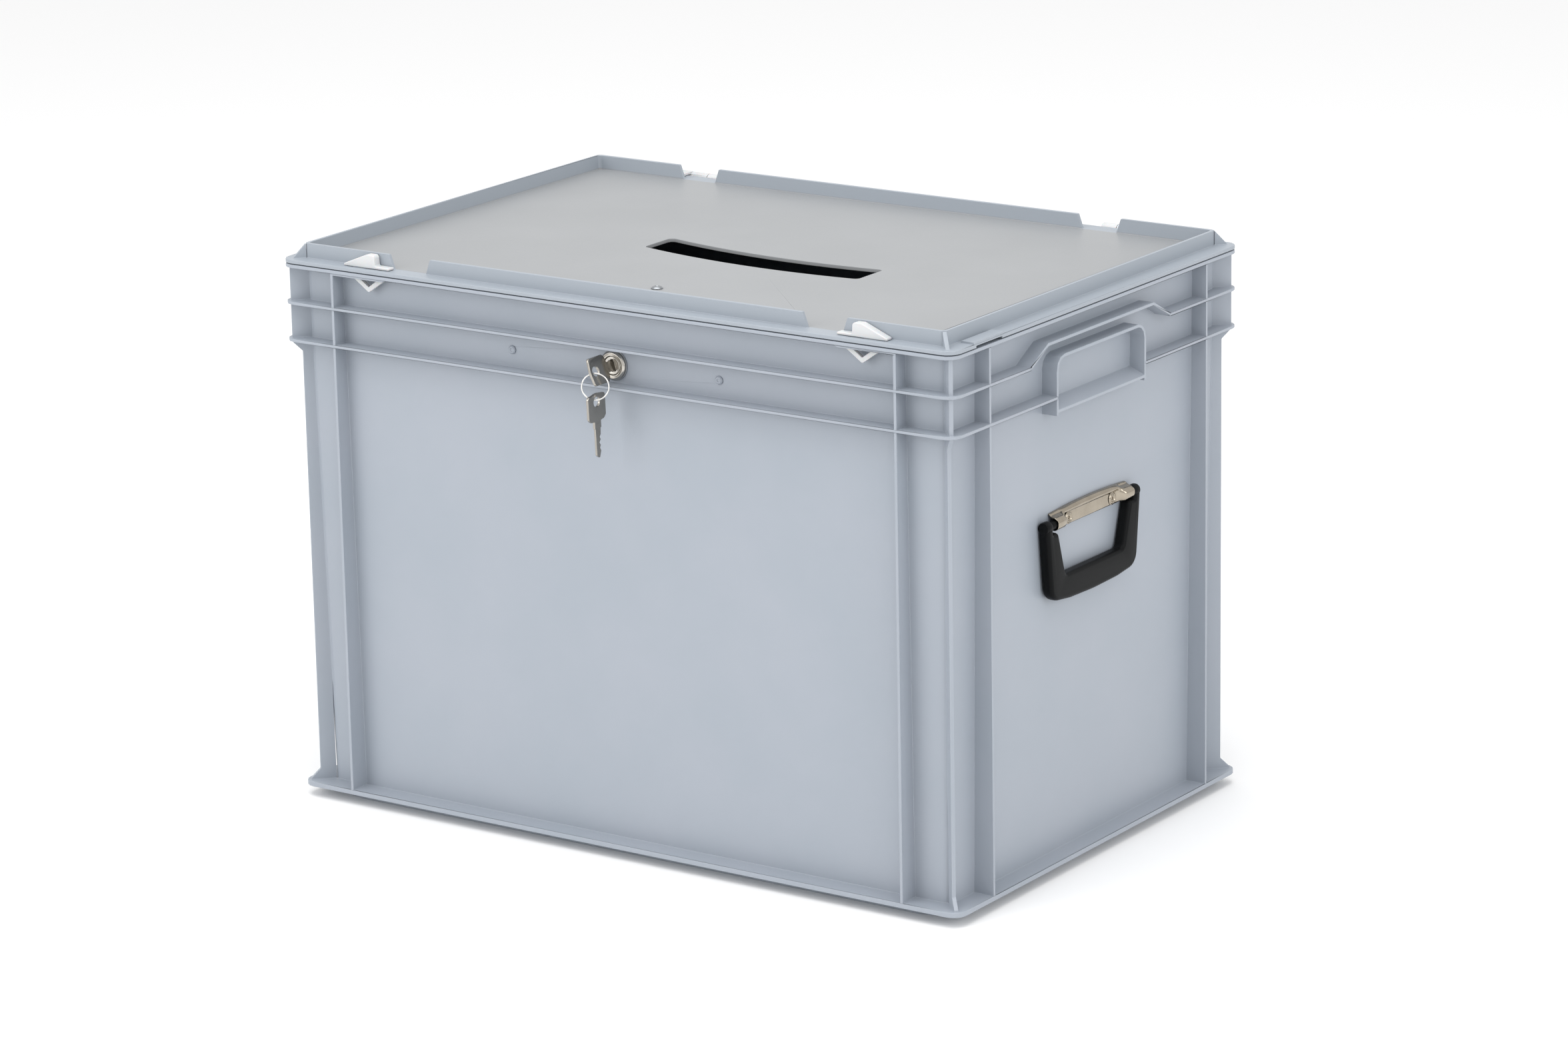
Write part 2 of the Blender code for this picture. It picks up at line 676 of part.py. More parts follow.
def lid():
    outline = (HALF_X, HALF_Y)
    plate = rounded_block("lid", outline, outline, LID_BOTTOM, LID_TOP, CORNER_RADIUS, LID_PLASTIC)
    adds = [stacking_frame(), lid_skirt()] + lid_corner_fins()
    cuts = [ballot_slot()] + neck_slots()
    start = -HALF_Y + LIP_START
    for side in (-1, 1):
        near, far = sorted((side * (HALF_X - LIP_DEPTH), side * (HALF_X - FIN_STEP_BACK)))
        top = LID_TOP + LIP_RISE
        adds.append(box(f"lip_{side}", (near, start, LID_TOP - MM), (far, start + LIP_LENGTH, top)))
        near, far = sorted((side * (HALF_X - LIP_DEPTH + 2 * MM), side * (HALF_X + MM)))
        high = LID_BOTTOM + LIP_RISE
        low_corner = (near, start + 3 * MM, LID_BOTTOM - MM)
        cuts.append(box(f"lip_notch_{side}", low_corner, (far, start + LIP_LENGTH - 3 * MM, high)))
    x, y = KEEPER_SCREW_X, KEEPER_SCREW_Y
    low, high = (x, y, LID_BOTTOM - PAST), (x, y, LID_TOP + PAST)
    hole = rod("keeper_hole", low, high, SCREW_RADIUS + HOLE_GAP, sides=12)
    cuts.append(hole)
    combine(plate, "UNION", adds, "add")
    combine(plate, "DIFFERENCE", cuts, "cut")
    move_origin(plate, (0, HINGE_Y, HINGE_Z))


# ---------------------------------------------------------------- latches


def latch(name, side):
    """Thumb wedge and tab on the lid, a neck through its edge, and a V loop below the rim."""
    def at(outwards):
        return side * (LATCH_X + outwards * MM)

    top = LID_TOP + SEAT_GAP
    wedge = [
        (at(21.8), top),
        (at(21.8), top + 1.4 * MM),
        (at(1), top + 10.3 * MM, 3 * MM),
        (at(-7), top + 10.3 * MM, 3 * MM),
        (at(-7.5), top + 2.2 * MM, 3 * MM),
        (at(-20.5), top + 1.8 * MM),
        (at(-20.5), top),
    ]
    front = -HALF_Y + LATCH_FRONT
    made = prism(name, rounded(wedge), "front", front, front + LATCH_DEPTH, WHITE_PLASTIC)

    near = -HALF_Y + LOOP_FRONT
    far = near + LOOP_DEPTH
    loop_top = LID_BOTTOM - SEAT_GAP
    low = loop_top - LOOP_DROP
    half = LOOP_HALF / MM
    outer = [(at(-half), loop_top), (at(half), loop_top), (at(0), low - 1.5 * MM, 2.5 * MM)]
    inner_half = half - 7.6
    shelf = loop_top - LOOP_STRIP
    inner = [(at(-inner_half), shelf), (at(inner_half), shelf), (at(0), low + 3.4 * MM, MM)]
    loop = prism(f"{name}_loop", rounded(outer), "front", near, far, holes=[rounded(inner)])
    edges = sorted((side * (LATCH_X + NECK_FROM), side * (LATCH_X + NECK_TO)))
    neck_low = (edges[0], near + RUN_GAP, loop_top - MM)
    neck = box(f"{name}_neck", neck_low, (edges[1], far - RUN_GAP, top + MM))
    combine(made, "UNION", [loop, neck], "add")
    move_origin(made, (side * LATCH_X, near, LID_TOP))


# ---------------------------------------------------------------- hinges


def hinge(name, side):
    """Clip under the rim, leaf on the lid, and the pin that joins their knuckles."""
    inner = HINGE_X - HINGE_WIDTH / 2
    outer = HINGE_X + HINGE_WIDTH / 2
    rim_low = RIM_TOP - RIM_THICKNESS - SEAT_GAP
    hinge_point = (HINGE_Y, HINGE_Z)

    def span(first, second):
        return sorted((side * first, side * second))

    left, right = span(inner, outer)
    clear = HINGE_Z - KNUCKLE_RADIUS - 0.6 * MM
    bar = [
        (HALF_Y - 10 * MM, rim_low - 5 * MM),
        (HALF_Y - 10 * MM, rim_low),
        (HALF_Y, rim_low),
        (HALF_Y + SEAT_GAP, clear),
        (HINGE_Y - 3.6 * MM, clear),
        (HINGE_Y - 3.6 * MM, rim_low - 12 * MM),
        (HALF_Y + 0.5 * MM, rim_low - 12 * MM),
        (HALF_Y + 0.5 * MM, rim_low - 5 * MM),
    ]
    base = prism(f"hinge_base_{name}", bar, "side", left, right, WHITE_PLASTIC)
    adds = []
    knuckles = ((inner, inner + KNUCKLE_LENGTH), (outer - KNUCKLE_LENGTH, outer))
    for index, (first, second) in enumerate(knuckles):
        low, high = span(first, second)
        web = (high, HINGE_Y + 3 * MM, HINGE_Z)
        adds.append(box(f"web_{name}_{index}", (low, HALF_Y + 0.5 * MM, rim_low - 4 * MM), web))
        start, end = (low, *hinge_point), (high, *hinge_point)
        adds.append(rod(f"knuckle_{name}_{index}", start, end, KNUCKLE_RADIUS, sides=16))
    lug_y = HALF_Y - LOOP_FRONT
    low, high = span(HINGE_X - 8 * MM, HINGE_X + 22 * MM)
    lug_low = (low, lug_y - LOOP_DEPTH, rim_low - MM)
    adds.append(box(f"lug_{name}", lug_low, (high, lug_y, RIM_TOP - SEAT_GAP)))
    combine(base, "UNION", adds, "add")
    bore_start, bore_end = (left - MM, *hinge_point), (right + MM, *hinge_point)
    bore = rod(f"bore_{name}", bore_start, bore_end, PIN_RADIUS + RUN_GAP, sides=16)
    combine(base, "DIFFERENCE", [bore], "cut")

    low, high = span(inner + KNUCKLE_LENGTH + SEAT_GAP * 2, outer - KNUCKLE_LENGTH - SEAT_GAP * 2)
    start, end = (low, *hinge_point), (high, *hinge_point)
    leaf = rod(f"hinge_leaf_{name}", start, end, KNUCKLE_RADIUS, WHITE_PLASTIC, 16)
    low, high = span(HINGE_X - 3 * MM, outer - KNUCKLE_LENGTH - SEAT_GAP * 2)
    plate_low = LID_TOP + SEAT_GAP
    plate_high = (high, HINGE_Y, plate_low + LEAF_THICKNESS)
    plate = box(f"leaf_plate_{name}", (low, HALF_Y - FRAME_INSET_Y + MM, plate_low), plate_high)
    low, high = span(LATCH_X + NECK_FROM - 12 * MM, LATCH_X + NECK_TO - 9 * MM)
    lug_low = (low, lug_y - LOOP_DEPTH, LID_BOTTOM + SEAT_GAP)
    lug = box(f"leaf_lug_{name}", lug_low, (high, lug_y, plate_low + MM))
    combine(leaf, "UNION", [plate, lug], "add")
    bore = rod(f"leaf_bore_{name}", bore_start, bore_end, PIN_RADIUS + RUN_GAP, sides=16)
    combine(leaf, "DIFFERENCE", [bore], "cut")
    move_origin(leaf, (side * HINGE_X, HINGE_Y, HINGE_Z))

    rod(f"hinge_pin_{name}", (left, *hinge_point), (right, *hinge_point), PIN_RADIUS, STEEL, 16)


# ---------------------------------------------------------------- lock and keys

LOCK_WALL = -HALF_Y + wall_inset(LOCK_Z)
WASHER_FRONT = LOCK_WALL - SEAT_GAP - LOCK_WASHER
COLLAR_BACK = WASHER_FRONT - SEAT_GAP
COLLAR_FACE = COLLAR_BACK - COLLAR_THICKNESS
BARREL_END = COLLAR_BACK + BARREL_LENGTH
STIFFENER_Y = LOCK_WALL + WALL + SEAT_GAP
NUT_Y = STIFFENER_Y + STIFFENER_SHEET + SEAT_GAP
CAM_Y = BARREL_END + 2 * SEAT_GAP
CAM_MIDDLE = CAM_Y + CAM_THICKNESS / 2
KEEPER_SCREW_Y = CAM_MIDDLE + KEEPER_SCREW_BACK
LOCK_AXIS = Vector((0, COLLAR_FACE, LOCK_Z))


def lock_turned(name, profile, start_y, look, closed=True, steps=28):
    """Turned lock piece whose profile heights run back from start_y."""
    start = (0, start_y, LOCK_Z)
    return turned(name, profile, start, (0, start_y + MM, LOCK_Z), look, closed, steps)


def turn_with_key(made):
    """Turn a piece about the lock's axis as far as the key is turned."""
    place = Matrix.Translation(LOCK_AXIS)
    spin = place @ Matrix.Rotation(KEY_TURN, 4, (0, -1, 0)) @ place.inverted()
    made.matrix_world = spin @ made.matrix_world


def lock_housing():
    bore = PLUG_RADIUS + RUN_GAP
    back = BARREL_END - COLLAR_FACE
    step = COLLAR_BACK - COLLAR_FACE
    edge = 0.8 * MM
    profile = [
        (BARREL_RADIUS, back),
        (BARREL_RADIUS, step),
        (COLLAR_RADIUS, step),
        (COLLAR_RADIUS, edge),
        (COLLAR_RADIUS - edge, 0),
        (bore, 0),
        (bore, back),
    ]
    lock_turned("lock_housing", profile, COLLAR_FACE, NICKEL)


def hex_nut(name, start, end, across, bore_radius, look=STEEL):
    nut = rod(name, start, end, across / 2 / math.cos(math.pi / 6), look, 6)
    direction = (Vector(end) - Vector(start)).normalized() * MM
    hole = rod(f"{name}_bore", Vector(start) - direction, Vector(end) + direction, bore_radius, sides=16)
    combine(nut, "DIFFERENCE", [hole], "cut")


def washer(name, start_y, thickness, inner, outer, look):
    profile = [(outer, thickness), (outer, 0), (inner, 0), (inner, thickness)]
    lock_turned(name, profile, start_y, look)


def plug():
    """Turning core with its keyway and the stem that carries the cam."""
    length = BARREL_END + SEAT_GAP - COLLAR_FACE
    stem = length + CAM_THICKNESS + SEAT_GAP
    recess = 0.4 * MM
    profile = [
        (0, stem),
        (STEM_RADIUS, stem),
        (STEM_RADIUS, length),
        (PLUG_RADIUS, length),
        (PLUG_RADIUS, recess),
        (0, recess),
    ]
    core = lock_turned("lock_plug", profile, COLLAR_FACE, NICKEL, closed=False, steps=24)
    half = KEY_THICKNESS / 2 + SEAT_GAP
    reach = BLADE_HALF + SEAT_GAP
    low = (-half, COLLAR_FACE - MM, LOCK_Z - reach)
    keyway = box("keyway", low, (half, COLLAR_FACE + BLADE_LENGTH + MM, LOCK_Z + reach))
    turn_with_key(keyway)
    combine(core, "DIFFERENCE", [keyway], "cut")


def cam():
    """Bar on the back of the plug that swings to the keeper's window."""
    half = CAM_WIDTH / 2
    end_radius = half * 0.9
    tip = [
        (-half, -half, end_radius),
        (CAM_REACH, -half, 2 * MM),
        (CAM_REACH, half, 2 * MM),
        (-half, half, end_radius),
    ]
    outline = [(x, y + LOCK_Z) for x, y in rounded(tip)]
    steps = 16
    hole_radius = STEM_RADIUS + SEAT_GAP
    angles = [2 * math.pi * step / steps for step in range(steps)]
    hole = [(hole_radius * math.cos(a), LOCK_Z + hole_radius * math.sin(a)) for a in angles]
    bar = prism("lock_cam", outline, "front", CAM_Y, CAM_Y + CAM_THICKNESS, STEEL, [hole])
    move_origin(bar, (0, CAM_Y, LOCK_Z))
    start = CAM_Y + CAM_THICKNESS + 2 * SEAT_GAP
    profile = [(0, 2 * MM), (3.4 * MM, 2 * MM), (4.2 * MM, 1.2 * MM), (4.2 * MM, 0), (0, 0)]
    lock_turned("lock_cam_screw", profile, start, STEEL, closed=False, steps=16)


def key_shape(name, hole_sides=14):
    """Flat key with its shoulder at local Y = 0, its bow towards -Y and its blade towards +Y."""
    bow_start = -SHANK_LENGTH
    bow_end = bow_start - BOW_LENGTH
    upper = [
        (bow_end, BOW_HALF, KEY_CORNER),
        (bow_start, BOW_HALF, KEY_CORNER),
        (bow_start, SHANK_HALF),
        (0, SHANK_HALF),
        (0, BLADE_HALF),
        (BLADE_LENGTH * 0.45, BLADE_HALF),
        (BLADE_LENGTH * 0.6, BLADE_HALF * 0.4),
        (BLADE_LENGTH * 0.75, BLADE_HALF * 0.9),
        (BLADE_LENGTH, 0.6 * MM),
    ]
    lower = [
        (BLADE_LENGTH, -0.6 * MM),
        (BLADE_LENGTH - 2 * MM, -BLADE_HALF),
        (0, -BLADE_HALF),
        (0, -SHANK_HALF),
        (bow_start, -SHANK_HALF),
        (bow_start, -BOW_HALF, KEY_CORNER),
        (bow_end, -BOW_HALF, KEY_CORNER),
    ]
    middle = bow_end + KEY_HOLE_FROM_END
    angles = [2 * math.pi * step / hole_sides for step in range(hole_sides)]
    hole = [(middle + KEY_HOLE_RADIUS * math.cos(a), KEY_HOLE_RADIUS * math.sin(a)) for a in angles]
    half = KEY_THICKNESS / 2
    return prism(name, rounded(upper + lower, 2), "side", -half, half, NICKEL, [hole]), middle


def keys():
    """Key in the lock, the ring through its bow, and the spare key that hangs from the ring."""
    key, hole_y = key_shape("key")
    key.matrix_world = Matrix.Translation((0, COLLAR_FACE - SEAT_GAP, LOCK_Z))
    turn_with_key(key)
    hole = key.matrix_world @ Vector((0, hole_y, 0))

    bpy.ops.mesh.primitive_torus_add(
        major_radius=RING_RADIUS, minor_radius=RING_WIRE, major_segments=32, minor_segments=8
    )
    ring = bpy.context.object
    ring.name = "key_ring"
    for group in list(ring.users_collection):
        group.objects.unlink(ring)
    PARTS.objects.link(ring)
    ring.data.materials.append(NICKEL)
    upright = Matrix.Rotation(RING_YAW, 4, "Z") @ Matrix.Rotation(math.pi / 2, 4, "X")
    ring.data.transform(Matrix.Translation((0, 0, -RING_RADIUS)) @ upright)
    hang = hole - Vector((0, 0, RING_HANG))
    ring.matrix_world = Matrix.Translation(hang)

    spare, hole_y = key_shape("spare_key")
    spare.data.transform(Matrix.Translation((0, -hole_y, 0)))
    spare.data.transform(Matrix.Rotation(-math.pi / 2 + SPARE_TILT, 4, "X"))
    lowest = hang - Vector((0, 0, 2 * RING_RADIUS + RING_HANG))
    spare.matrix_world = Matrix.Translation(lowest)


def keeper():
    """Angled catch under the lid with the window that the cam swings to."""
    x, y = KEEPER_SCREW_X, KEEPER_SCREW_Y
    top = LID_BOTTOM - SEAT_GAP
    low = (x - 12 * MM, CAM_MIDDLE, top - KEEPER_SHEET)
    high = (KEEPER_X + KEEPER_SHEET, y + 12 * MM, top)
    foot = box("keeper", low, high, STEEL)
    leg_front = CAM_MIDDLE - KEEPER_DEPTH / 2
    leg_low = (KEEPER_X, leg_front, LOCK_Z - KEEPER_BELOW_LOCK)
    leg = box("keeper_leg", leg_low, (KEEPER_X + KEEPER_SHEET, leg_front + KEEPER_DEPTH, top - 0.1 * MM))
    combine(foot, "UNION", [leg], "add")
    window_low = (KEEPER_X - MM, CAM_MIDDLE - WINDOW_HALF, LOCK_Z - WINDOW_HALF)
    window_high = (KEEPER_X + KEEPER_SHEET + MM, CAM_MIDDLE + WINDOW_HALF, LOCK_Z + WINDOW_HALF)
    window = box("keeper_window", window_low, window_high)
    start, end = (x, y, top - PAST * 2), (x, y, top + PAST)
    hole = rod("keeper_foot_hole", start, end, SCREW_RADIUS + HOLE_GAP, sides=12)
    combine(foot, "DIFFERENCE", [window, hole], "cut")

    nut_top = top - KEEPER_SHEET - SEAT_GAP
    head = LID_TOP + SEAT_GAP
    end = nut_top - SMALL_NUT - MM
    reach = head - end
    profile = [
        (0, reach + 1.8 * MM),
        (2.4 * MM, reach + 1.6 * MM),
        (4 * MM, reach + 0.9 * MM),
        (4.5 * MM, reach),
        (SCREW_RADIUS, reach),
        (SCREW_RADIUS, 0),
        (0, 0),
    ]
    turned("keeper_screw", profile, (x, y, end), (x, y, end + MM), STEEL, steps=16)
    start, end = (x, y, nut_top - SMALL_NUT), (x, y, nut_top)
    hex_nut("keeper_nut", start, end, SMALL_NUT_ACROSS, SCREW_RADIUS + RUN_GAP)


def stiffener():
    """Steel bar behind the front wall, clamped by the lock's nut and two screws."""
    half = STIFFENER_HEIGHT / 2
    low = (-STIFFENER_HALF, STIFFENER_Y, LOCK_Z - half)
    bar = box("stiffener_bar", low, (STIFFENER_HALF, STIFFENER_Y + STIFFENER_SHEET, LOCK_Z + half), STEEL)
    near, far = STIFFENER_Y - MM, STIFFENER_Y + STIFFENER_SHEET + MM
    cuts = [rod("stiffener_lock_hole", (0, near, LOCK_Z), (0, far, LOCK_Z), BARREL_RADIUS + SEAT_GAP)]
    nut_start = STIFFENER_Y + STIFFENER_SHEET + SEAT_GAP
    for name, side in SIDES.items():
        x = side * WALL_SCREW_X
        radius = SCREW_RADIUS + HOLE_GAP
        cuts.append(rod(f"stiffener_hole_{name}", (x, near, LOCK_Z), (x, far, LOCK_Z), radius, sides=12))
        end = nut_start + SMALL_NUT + MM
        head = LOCK_WALL - SEAT_GAP
        reach = end - head
        profile = [
            (0, reach + 1.7 * MM),
            (WALL_SCREW_HEAD * 0.6, reach + 1.5 * MM),
            (WALL_SCREW_HEAD, reach + 0.5 * MM),
            (WALL_SCREW_HEAD, reach),
            (SCREW_RADIUS, reach),
            (SCREW_RADIUS, 0),
            (0, 0),
        ]
        foot, above = (x, end, LOCK_Z), (x, end - MM, LOCK_Z)
        turned(f"wall_screw_{name}", profile, foot, above, POLYPROPYLENE, steps=16)
        start, stop = (x, nut_start, LOCK_Z), (x, nut_start + SMALL_NUT, LOCK_Z)
        hex_nut(f"wall_nut_{name}", start, stop, SMALL_NUT_ACROSS, SCREW_RADIUS + RUN_GAP)
    combine(bar, "DIFFERENCE", cuts, "cut")


def lock():
    lock_housing()
    outer = COLLAR_RADIUS + WASHER_LIP
    washer("lock_washer", WASHER_FRONT, LOCK_WASHER, BARREL_RADIUS + SEAT_GAP, outer, STEEL)
    start, end = (0, NUT_Y, LOCK_Z), (0, NUT_Y + NUT_THICKNESS, LOCK_Z)
    hex_nut("lock_nut", start, end, NUT_ACROSS, BARREL_RADIUS + RUN_GAP)
    plug()
    cam()
    keys()
    keeper()
    stiffener()


# ---------------------------------------------------------------- carrying handles

HANDLE_WALL = HALF_X - wall_inset(HANDLE_Z)
HANDLE_X = HANDLE_WALL + HANDLE_OUT


def handle_plate(name, side):
    """Folded sheet with a ridge along its top and a loop round the grip's stub at each end."""
    back = HANDLE_WALL + SEAT_GAP
    face = back + PLATE_STAND - SEAT_GAP
    low = HANDLE_Z - PLATE_BELOW
    high = HANDLE_Z + PLATE_ABOVE
    path = [
        (back, low + PLATE_SHEET / 2),
        (face - PLATE_SHEET / 2, low + PLATE_SHEET / 2),
        (face - PLATE_SHEET / 2, high - 4.2 * MM),
        (face + MM, high - 2.9 * MM),
        (face + MM, high - 1.5 * MM),
        (face - 0.6 * MM, high - PLATE_SHEET / 2),
        (back, high - PLATE_SHEET / 2),
    ]
    reach = PLATE_BAND_HALF + MM
    band = prism(f"handle_plate_{name}", strip(path, PLATE_SHEET), "front", -reach, reach, NICKEL)
    inner = STUB_RADIUS + RUN_GAP + PLATE_SHEET / 2
    steps = 8
    arc = [math.pi / 2 - math.pi * step / steps for step in range(steps + 1)]
    loop = [(HANDLE_X + inner * math.cos(a), HANDLE_Z + inner * math.sin(a)) for a in arc]
    path = [(back, HANDLE_Z + inner)] + loop + [(back, HANDLE_Z - inner)]
    adds = []
    for end in (-1, 1):
        first, second = sorted((end * PLATE_BAND_HALF, end * PLATE_HALF))
        adds.append(prism(f"plate_loop_{name}_{end}", strip(path, PLATE_SHEET), "front", first, second))
    combine(band, "UNION", adds, "add")
    cuts = []
    for end, y in enumerate((-RIVET_Y, RIVET_Y)):
        start, stop = (back - MM, y, HANDLE_Z), (face + 2 * MM, y, HANDLE_Z)
        cuts.append(rod(f"plate_hole_{name}_{end}", start, stop, RIVET_SHANK + HOLE_GAP, sides=12))
    combine(band, "DIFFERENCE", cuts, "cut")
    for made in (band, *adds, *cuts):
        half_turn(made, side)


def handle_rivets(name, side):
    """Two hollow rivets through plate, wall and backing strip."""
    face = HANDLE_WALL + PLATE_STAND
    inner = HANDLE_WALL - WALL - SEAT_GAP - BACKING_SHEET
    reach = face + SEAT_GAP - inner
    flare = 0.9 * MM
    profile = [
        (2.2 * MM, reach + 1.1 * MM),
        (RIVET_HEAD - 0.8 * MM, reach + 0.9 * MM),
        (RIVET_HEAD, reach + 0.3 * MM),
        (RIVET_HEAD, reach),
        (RIVET_SHANK, reach),
        (RIVET_SHANK, -SEAT_GAP),
        (3.4 * MM, -SEAT_GAP),
        (3.4 * MM, -SEAT_GAP - flare),
        (RIVET_BORE, -SEAT_GAP - flare),
        (RIVET_BORE, reach + 0.4 * MM),
    ]
    for end, y in (("front", -RIVET_Y), ("back", RIVET_Y)):
        start, stop = (inner, y * side, HANDLE_Z), (inner + MM, y * side, HANDLE_Z)
        half_turn(turned(f"handle_rivet_{name}_{end}", profile, start, stop, NICKEL, True, 16), side)


def handle_backing(name, side):
    inner = HANDLE_WALL - WALL - SEAT_GAP
    low = (inner - BACKING_SHEET, -PLATE_BAND_HALF, HANDLE_Z - PLATE_BELOW)
    high = (inner, PLATE_BAND_HALF, HANDLE_Z + PLATE_BELOW)
    strip_plate = box(f"handle_backing_{name}", low, high, STEEL)
    cuts = []
    for end, y in enumerate((-RIVET_Y, RIVET_Y)):
        start, stop = (inner - BACKING_SHEET - MM, y, HANDLE_Z), (inner + MM, y, HANDLE_Z)
        cuts.append(rod(f"backing_hole_{name}_{end}", start, stop, RIVET_SHANK + HOLE_GAP, sides=12))
    combine(strip_plate, "DIFFERENCE", cuts, "cut")
    for made in (strip_plate, *cuts):
        half_turn(made, side)


def handle_grip(name, side):
    """D-shaped grip whose two stubs turn in the plate's end loops, shaped about its own axis."""
    corner = -GRIP_DROP_CORNER
    inner_low = -GRIP_DROP_INNER
    half = [
        (GRIP_OUTER_TOP, 0),
        (GRIP_OUTER_LOW, corner, 12 * MM),
        (GRIP_OUTER_LOW * 0.55, -GRIP_DROP_OUTER * 0.985, 30 * MM),
        (0, -GRIP_DROP_OUTER),
    ]
    outer = half + [(-corner[0], *corner[1:]) for corner in reversed(half[:-1])]
    boss_inner = PLATE_HALF + GRIP_PLAY
    step = -STUB_RADIUS - RUN_GAP - PLATE_SHEET - 2 * SEAT_GAP
    inside = [
        (-boss_inner, 0),
        (-boss_inner, step),
        (-GRIP_INNER_STEP, step),
        (-GRIP_INNER_LOW, inner_low, 5 * MM),
        (GRIP_INNER_LOW, inner_low, 5 * MM),
        (GRIP_INNER_STEP, step),
        (boss_inner, step),
        (boss_inner, 0),
    ]
    outline = [(y - GRIP_SHIFT, z) for y, z in rounded(outer + inside)]
    deep = GRIP_HALF_DEPTH
    grip = prism(f"handle_grip_{name}", outline, "side", -deep, deep, BLACK_PLASTIC)
    bevel = grip.modifiers.new("edges", "BEVEL")
    bevel.width = GRIP_EDGE
    bevel.segments = 2
    bevel.limit_method = "ANGLE"
    bevel.angle_limit = math.radians(50)
    adds = []
    for end in (-1, 1):
        first = end * boss_inner - GRIP_SHIFT
        second = end * GRIP_OUTER_TOP - GRIP_SHIFT
        inset = end * 0.4 * MM
        start, stop = (0, first, 0), (0, second - inset, 0)
        adds.append(rod(f"grip_boss_{name}_{end}", start, stop, GRIP_HALF_DEPTH - 0.05 * MM, sides=20))
        start = (0, end * (PLATE_BAND_HALF + MM + 2 * SEAT_GAP), 0)
        stop = (0, first + end * 5 * MM, 0)
        adds.append(rod(f"grip_stub_{name}_{end}", start, stop, STUB_RADIUS, sides=20))
    combine(grip, "UNION", adds, "add")
    for made in (grip, *adds):
        made.matrix_world = Matrix.Translation((HANDLE_X, 0, HANDLE_Z)) @ made.matrix_world
        half_turn(made, side)


def handle(name, side):
    handle_plate(name, side)
    handle_rivets(name, side)
    handle_backing(name, side)
    handle_grip(name, side)


def main():
    container()
    lid()
    lock()
    for name, side in SIDES.items():
        latch(f"latch_{name}", side)
        hinge(name, side)
        handle(name, side)


main()
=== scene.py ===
"""Looks of a lockable collection box: tub, slotted lid, latches, cam lock with keys, and handles.

Every size is in millimetres unless a name says otherwise. X runs along the box to its right end, Y to
its hinged back and Z up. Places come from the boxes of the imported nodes.
"""

import logging
from dataclasses import dataclass, field
from enum import Enum

import bmesh
import bpy
import numpy as np
from mathutils import Matrix, Vector
from numpy.typing import NDArray


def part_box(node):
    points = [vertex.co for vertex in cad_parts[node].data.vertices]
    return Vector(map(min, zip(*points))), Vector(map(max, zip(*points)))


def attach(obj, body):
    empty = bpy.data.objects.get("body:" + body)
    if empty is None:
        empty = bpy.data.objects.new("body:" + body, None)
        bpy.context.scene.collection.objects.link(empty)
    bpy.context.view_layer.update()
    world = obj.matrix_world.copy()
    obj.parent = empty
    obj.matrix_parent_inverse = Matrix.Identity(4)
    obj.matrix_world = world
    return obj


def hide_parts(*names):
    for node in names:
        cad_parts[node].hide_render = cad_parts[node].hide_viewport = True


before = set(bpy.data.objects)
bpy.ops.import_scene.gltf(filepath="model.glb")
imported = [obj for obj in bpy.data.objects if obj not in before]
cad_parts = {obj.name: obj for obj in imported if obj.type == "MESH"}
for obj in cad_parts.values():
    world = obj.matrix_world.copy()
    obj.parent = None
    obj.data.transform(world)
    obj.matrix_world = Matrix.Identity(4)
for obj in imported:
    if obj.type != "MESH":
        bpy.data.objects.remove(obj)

Array = NDArray[np.float64]
MM = 0.001
# The key sits turned a little in the plug, and the spare hangs a little off the upright
KEY_TURN = float(np.radians(20))
SPARE_TILT = float(np.radians(3))
log = logging.getLogger("collection_box")


class Side(Enum):
    """The two ends of the box, each with its sign along X."""

    LEFT = -1
    RIGHT = 1

    @property
    def word(self) -> str:
        """The side's name as the nodes spell it."""
        return self.name.lower()


class Plane(Enum):
    """Planes that an outline is drawn in: its two directions, then the one it is given depth along."""

    TOP = ((1, 0, 0), (0, 1, 0), (0, 0, 1))
    FRONT = ((1, 0, 0), (0, 0, 1), (0, 1, 0))
    END = ((0, 1, 0), (0, 0, 1), (1, 0, 0))


# ---------------------------------------------------------------- surfaces


def unit(vectors: Array) -> Array:
    """Scale each vector of the last axis to a length of one.

    Args:
        vectors: An array whose last axis holds the vectors.

    Returns:
        The vectors divided by their lengths.
    """
    return vectors / np.linalg.norm(vectors, axis=-1, keepdims=True)


def filleted(corners: list[tuple[float, float, float]], steps: int = 6) -> Array:
    """Round a closed outline: each corner becomes an arc that touches both of its edges.

    The arc's centre lies on the corner's bisector at radius / sin(half angle), and the arc starts
    radius / tan(half angle) before the corner.

    Args:
        corners: Each corner's two places and its radius.
        steps: How many steps each arc has.

    Returns:
        The outline's points, one row each.
    """
    table = np.array(corners, float)
    here, radius = table[:, :2], table[:, 2:]
    back = unit(np.roll(here, 1, axis=0) - here)
    ahead = unit(np.roll(here, -1, axis=0) - here)
    half = np.arccos(np.clip((back * ahead).sum(1, keepdims=True), -1, 1)) / 2
    start = here + back * radius / np.tan(half)
    centre = here + unit(back + ahead) * radius / np.sin(half)
    arm = start - centre
    bend = np.sign(back[:, :1] * ahead[:, 1:] - back[:, 1:] * ahead[:, :1])
    angle = -bend * (np.pi - 2 * half) * np.linspace(0, 1, steps + 1)
    turned_x = arm[:, :1] * np.cos(angle) - arm[:, 1:] * np.sin(angle)
    turned_y = arm[:, :1] * np.sin(angle) + arm[:, 1:] * np.cos(angle)
    return (centre[:, None, :] + np.stack([turned_x, turned_y], axis=2)).reshape(-1, 2)


